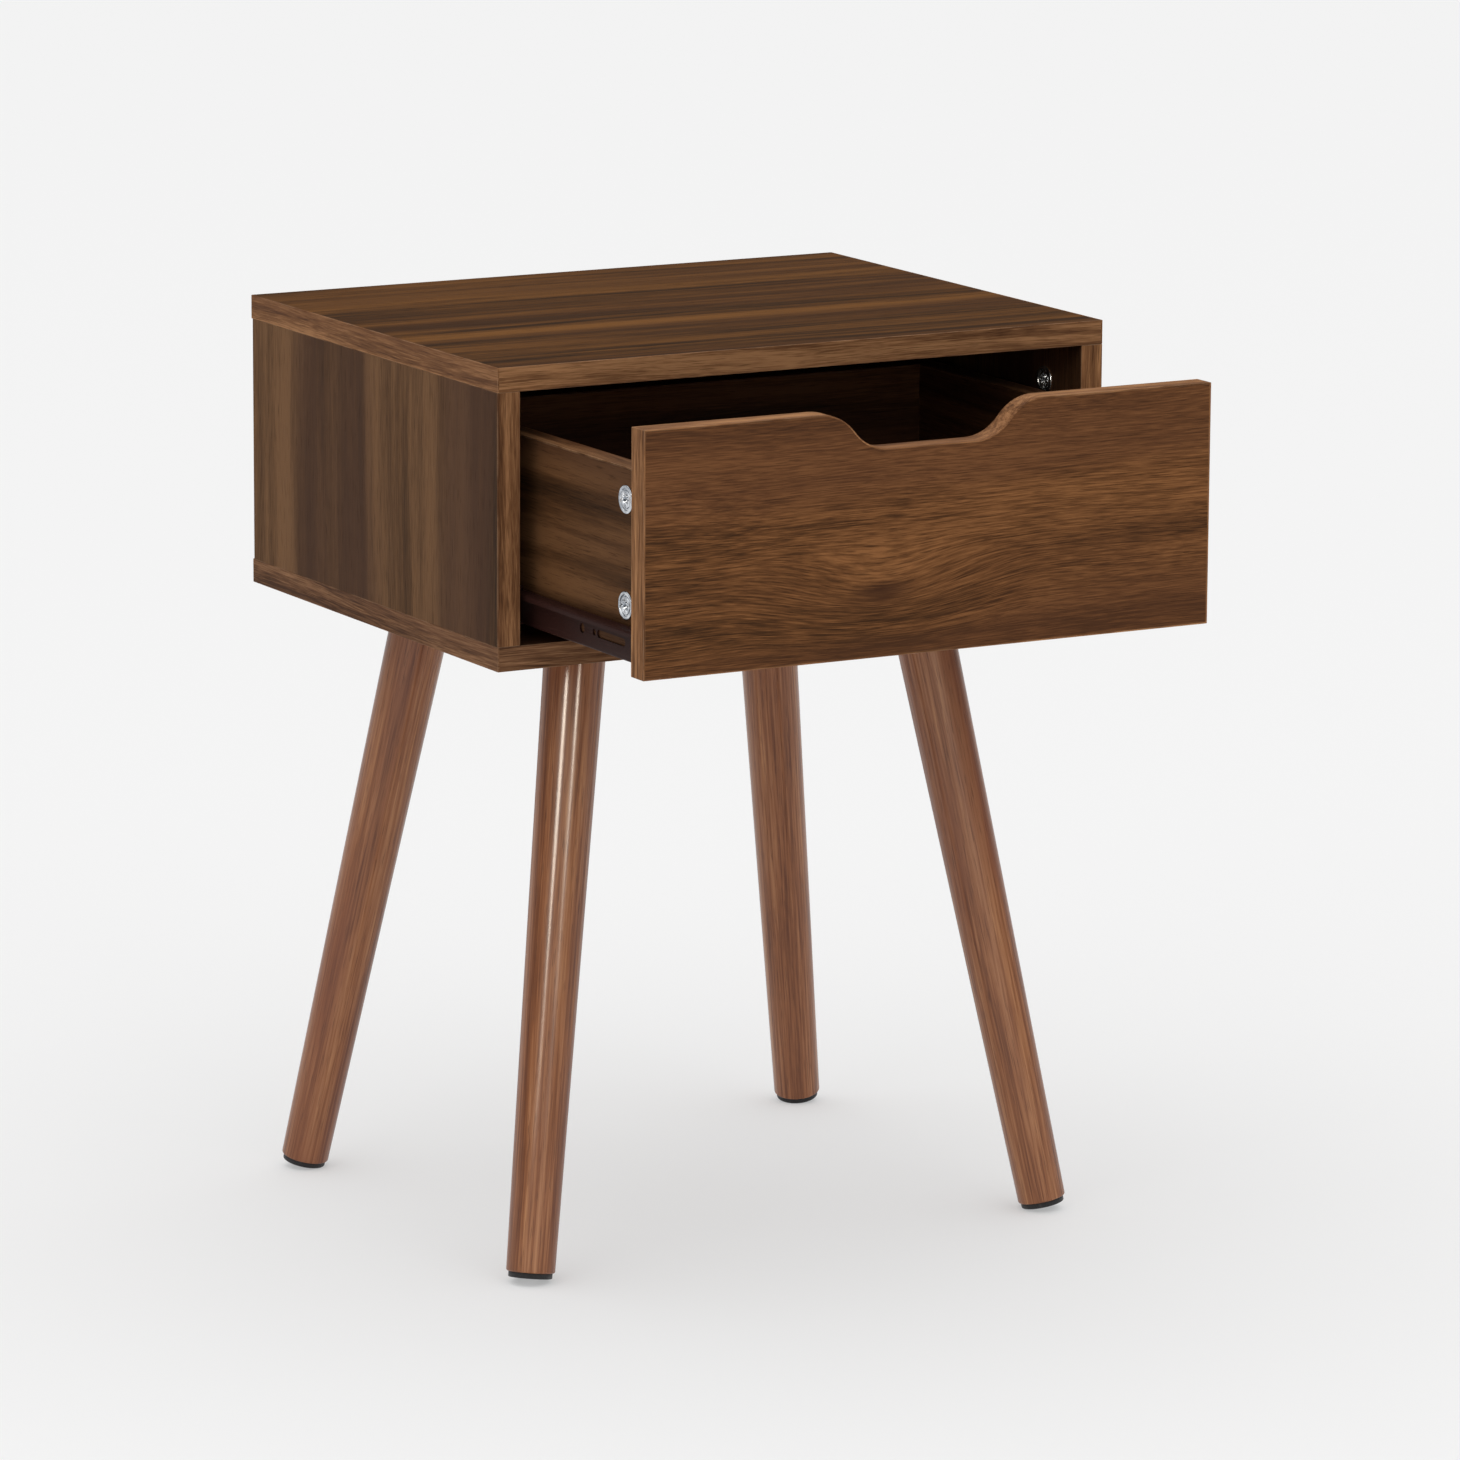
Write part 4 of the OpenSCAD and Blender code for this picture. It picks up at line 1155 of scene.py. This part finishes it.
def pullOut(piece, test, distance):
    # extends the sheet from the edges that pass the test
    pickParts(piece, "edges", test)
    bpy.ops.mesh.extrude_region_move(TRANSFORM_OT_translate={"value": back * distance})
    bpy.ops.object.mode_set(mode="OBJECT")


def makeDrawerRail():
    t = rail["thick"] * mm
    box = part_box("left_drawer_rail")
    lipX = box[0].x + t / 2
    webX = -drawerFace - t / 2
    soleX = box[1].x
    bottomZ = box[0].z + t / 2
    lipZ = box[1].z - t / 2
    edgeZ = box[1].z - rail["lip"] * mm
    start, end = box[0].y, box[1].y
    lipEnd = low("left_drawer_roller").y - rail["rollerGap"] * mm
    profile = [(soleX, bottomZ), (webX, bottomZ), (webX, lipZ), (lipX, lipZ), (lipX, edgeZ)]
    piece = drawLine("drawerRailLeft", [(x, start, z) for x, z in profile])
    pullOut(piece, lambda a, b: True, lipEnd - start)

    def pastLip(a, b):
        return min(a.y, b.y) > lipEnd - 1 * mm and min(a.x, b.x) > webX - 0.1 * mm

    pullOut(piece, pastLip, end - lipEnd)
    bendAlong(piece, [(webX, bottomZ), (webX, lipZ), (lipX, lipZ)], rail["bend"] * mm)
    pickOnly(piece)
    bpy.ops.object.mode_set(mode="EDIT")
    bpy.ops.mesh.select_all(action="SELECT")
    bpy.ops.mesh.normals_make_consistent(inside=False)
    bpy.ops.object.mode_set(mode="OBJECT")
    useModifier(piece, "SOLIDIFY", thickness=t, offset=0.0, use_even_offset=True)
    webMid = (box[0].z + box[1].z) / 2
    embossSlot(piece, webX, webMid, boxFront)
    for y, radius in rail["webHoles"]:
        cutHole(piece, webX, boxFront + y * mm, webMid, radius)
    cutHole(piece, webX, middle("left_drawer_roller").y, middle("left_drawer_roller").z, rail["rivetHole"])
    for y in screwYs("drawer_rail_screws"):
        spot = Vector((-boxMidX, y, box[0].z))
        cut(piece, rod(spot + down * 2 * mm, spot + up * 3 * mm, rail["screwHole"] * mm, 24))
    ease(piece, rail["edge"] * mm, 2, 45)
    smooth(piece)
    return piece


def cutHole(piece, x, y, z, radius):
    reach = rail["cutReach"] * mm
    cut(piece, rod((x - reach, y, z), (x + reach, y, z), radius * mm, 32))


slot = {"from": 28.0, "to": 58.0, "radius": 2.4, "rim": 1.3, "rimRound": 0.3, "proud": 0.35}


def capsule(x0, x1, yStart, yEnd, z, radius):
    body = block((x0, yStart, z - radius), (x1, yEnd, z + radius))
    for y in (yStart, yEnd):
        cut(body, rod((x0, y, z), (x1, y, z), radius, 32), "UNION")
    return body


def embossSlot(piece, webX, z, front):
    # pressed rim round the slot, then the slot itself
    s = slot
    t = rail["thick"] * mm
    y0, y1 = front + s["from"] * mm, front + s["to"] * mm
    rim = capsule(webX - t / 2 - s["proud"] * mm, webX, y0, y1, z, (s["radius"] + s["rim"]) * mm)
    ease(rim, s["rimRound"] * mm, 3, 50)
    cut(piece, rim, "UNION")
    reach = rail["cutReach"] * mm
    cut(piece, capsule(webX - reach, webX + reach, y0, y1, z, s["radius"] * mm))


caseRailForm = {"ridgeRadius": 2.0, "ridgeBack": 57.0, "trim": 5.0}   # trim: block that cuts the ridge flat


def makeCaseRail():
    t = rail["thick"] * mm
    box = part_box("left_case_rail")
    webX = box[0].x + t / 2
    bottomZ, topZ = box[0].z + t / 2, box[1].z - t / 2
    start, end = box[0].y, box[1].y
    inX = box[1].x
    profile = [(inX, bottomZ), (webX, bottomZ), (webX, topZ), (inX, topZ)]
    piece = drawLine("caseRailLeft", [(x, start, z) for x, z in profile])
    pullOut(piece, lambda a, b: True, end - start)
    bendAlong(piece, [(webX, bottomZ), (webX, topZ)], rail["bend"] * mm)
    useModifier(piece, "SOLIDIFY", thickness=t, offset=0.0, use_even_offset=True)
    cut(piece, block((webX, end - t, bottomZ), (inX, end, topZ)), "UNION")
    # ridge the drawer's roller drops behind when it is shut
    ridgeY = start + caseRailForm["ridgeBack"] * mm
    ridgeZ = box[0].z + t
    ridge = rod((webX + 0.2 * t, ridgeY, ridgeZ), (inX, ridgeY, ridgeZ), caseRailForm["ridgeRadius"] * mm)
    trim = caseRailForm["trim"] * mm
    under = Vector((webX - 2 * mm, ridgeY - trim, ridgeZ - trim))
    cut(ridge, block(under, (inX + 1 * mm, ridgeY + trim, ridgeZ - 0.7 * t)))
    cut(piece, ridge, "UNION")
    z = middle("case_rail_screws").z
    for y in screwYs("case_rail_screws"):
        cutHole(piece, webX, y, z, rail["screwHole"])
    cutHole(piece, webX, middle("left_case_roller").y, middle("left_case_roller").z, rail["rivetHole"])
    ease(piece, rail["edge"] * mm, 2, 45)
    smooth(piece)
    return piece


for make, name, body, node in (
    (makeDrawerRail, "drawerRail", "drawer", "drawer_rail"),
    (makeCaseRail, "caseRail", "case", "case_rail"),
):
    leftRail = make()
    rightRail = mirrored(leftRail, name + "Right")
    finishPiece(leftRail, paint, body, "left_" + node)
    finishPiece(rightRail, paint, body, "right_" + node)

screwZ = middle("case_rail_screws").z
seatX = caseFace - rail["thick"] * mm
railSpots = [(side, y) for side in (-1, 1) for y in screwYs("case_rail_screws")]
places = [(Vector((side * seatX, y, screwZ)), across * -side, 0.4) for side, y in railSpots]
fitGang("caseRailScrews", makePanScrew(rail["bite"] + rail["thick"]), places,
        steel, "case", "case_rail_screws")
seatZ = low("left_drawer_rail").z
railSpots = [(side, y) for side in (-1, 1) for y in screwYs("drawer_rail_screws")]
places = [(Vector((side * boxMidX, y, seatZ)), down, 0.7) for side, y in railSpots]
fitGang("drawerRailScrews", makePanScrew(rail["bite"] + rail["thick"]), places,
        steel, "drawer", "drawer_rail_screws")
print("rails made")

roller = {"bore": 2.58, "rim": 1.5, "hub": 4.1, "dish": 0.6, "edge": 0.5}
rivet = {
    "radius": 2.5, "head": 4.2, "headThick": 0.9, "collar": 4.0, "play": 0.2,
    "dome": [(0.1, 0.45), (1.1, 0.1)],      # in from the head's rim, and down from its top
    "dimple": (2.0, 1.2), "dimpleDepth": 0.25,      # radii at its rim and floor
}


def makeRoller(node):
    # dished on both faces between its rim and its hub, at rest round its own axis
    w = size(node).x / mm
    r = size(node).z / 2 / mm
    e, d = roller["edge"], roller["dish"]
    inner = r - roller["rim"]
    face = [(roller["bore"], 0), (roller["hub"], 0), (roller["hub"] + 0.2, d), (inner - 0.2, d), (inner, 0)]
    outline = face + arc((r - e, e), e, -90, 0, 3) + arc((r - e, w - e), e, 0, 90, 3)
    outline += [(radius, w - height) for radius, height in reversed(face)] + [(roller["bore"], 0)]
    piece = turned("roller", outline, 56)
    spot = middle(node)
    settle(piece, Vector((low(node).x, spot.y, spot.z)), across)
    smooth(piece)
    return piece


nylon = rollerNylon()
for body in ("left_case_roller", "right_case_roller", "left_drawer_roller", "right_drawer_roller"):
    piece = makeRoller(body)
    side, place, kind = body.split("_")
    piece.name = place + kind.capitalize() + side.capitalize()
    finishPiece(piece, nylon, body, body)


def makeRivet(length, collarAt):
    # from its flush end at height 0 to its domed head; collarAt: the two heights of its collar
    pin, collar, head = rivet["radius"], rivet["collar"], rivet["head"]
    near, far = collarAt
    seat = length - rivet["headThick"]
    outline = [(0, 0), (pin, 0), (pin, near), (collar, near), (collar, far), (pin, far), (pin, seat)]
    outline += [(head, seat)] + [(head - inset, length - drop) for inset, drop in rivet["dome"]]
    rim, floor = rivet["dimple"]
    floorAt = length - rivet["dimpleDepth"]
    return turned("rivet", outline + [(rim, length), (floor, floorAt), (0, floorAt)], 32)


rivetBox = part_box("case_roller_rivets")
railT = rail["thick"]
rollerStart = (low("left_case_roller").x - rivetBox[0].x) / mm
headEnd = (high("left_case_roller").x - rivetBox[0].x) / mm + rivet["play"] + rivet["headThick"]
spot = middle("left_case_roller")
places = [(Vector((side * caseFace, spot.y, spot.z)), across * -side, 0) for side in (-1, 1)]
fitGang("caseRollerRivets", makeRivet(headEnd, (railT, rollerStart - rivet["play"])), places,
        steel, "case", "case_roller_rivets")

spot = middle("left_drawer_roller")
rollerNear = (-drawerFace - high("left_drawer_roller").x) / mm
rollerFar = (-drawerFace - low("left_drawer_roller").x) / mm
places = [(Vector((side * drawerFace, spot.y, spot.z)), across * side, 0) for side in (-1, 1)]
rivetLength = rollerFar + rivet["play"] + rivet["headThick"]
fitGang("drawerRollerRivets", makeRivet(rivetLength, (railT, rollerNear - rivet["play"])), places,
        steel, "drawer", "drawer_roller_rivets")
print("rollers made")


addFloor()
addStudio()
addCamera()
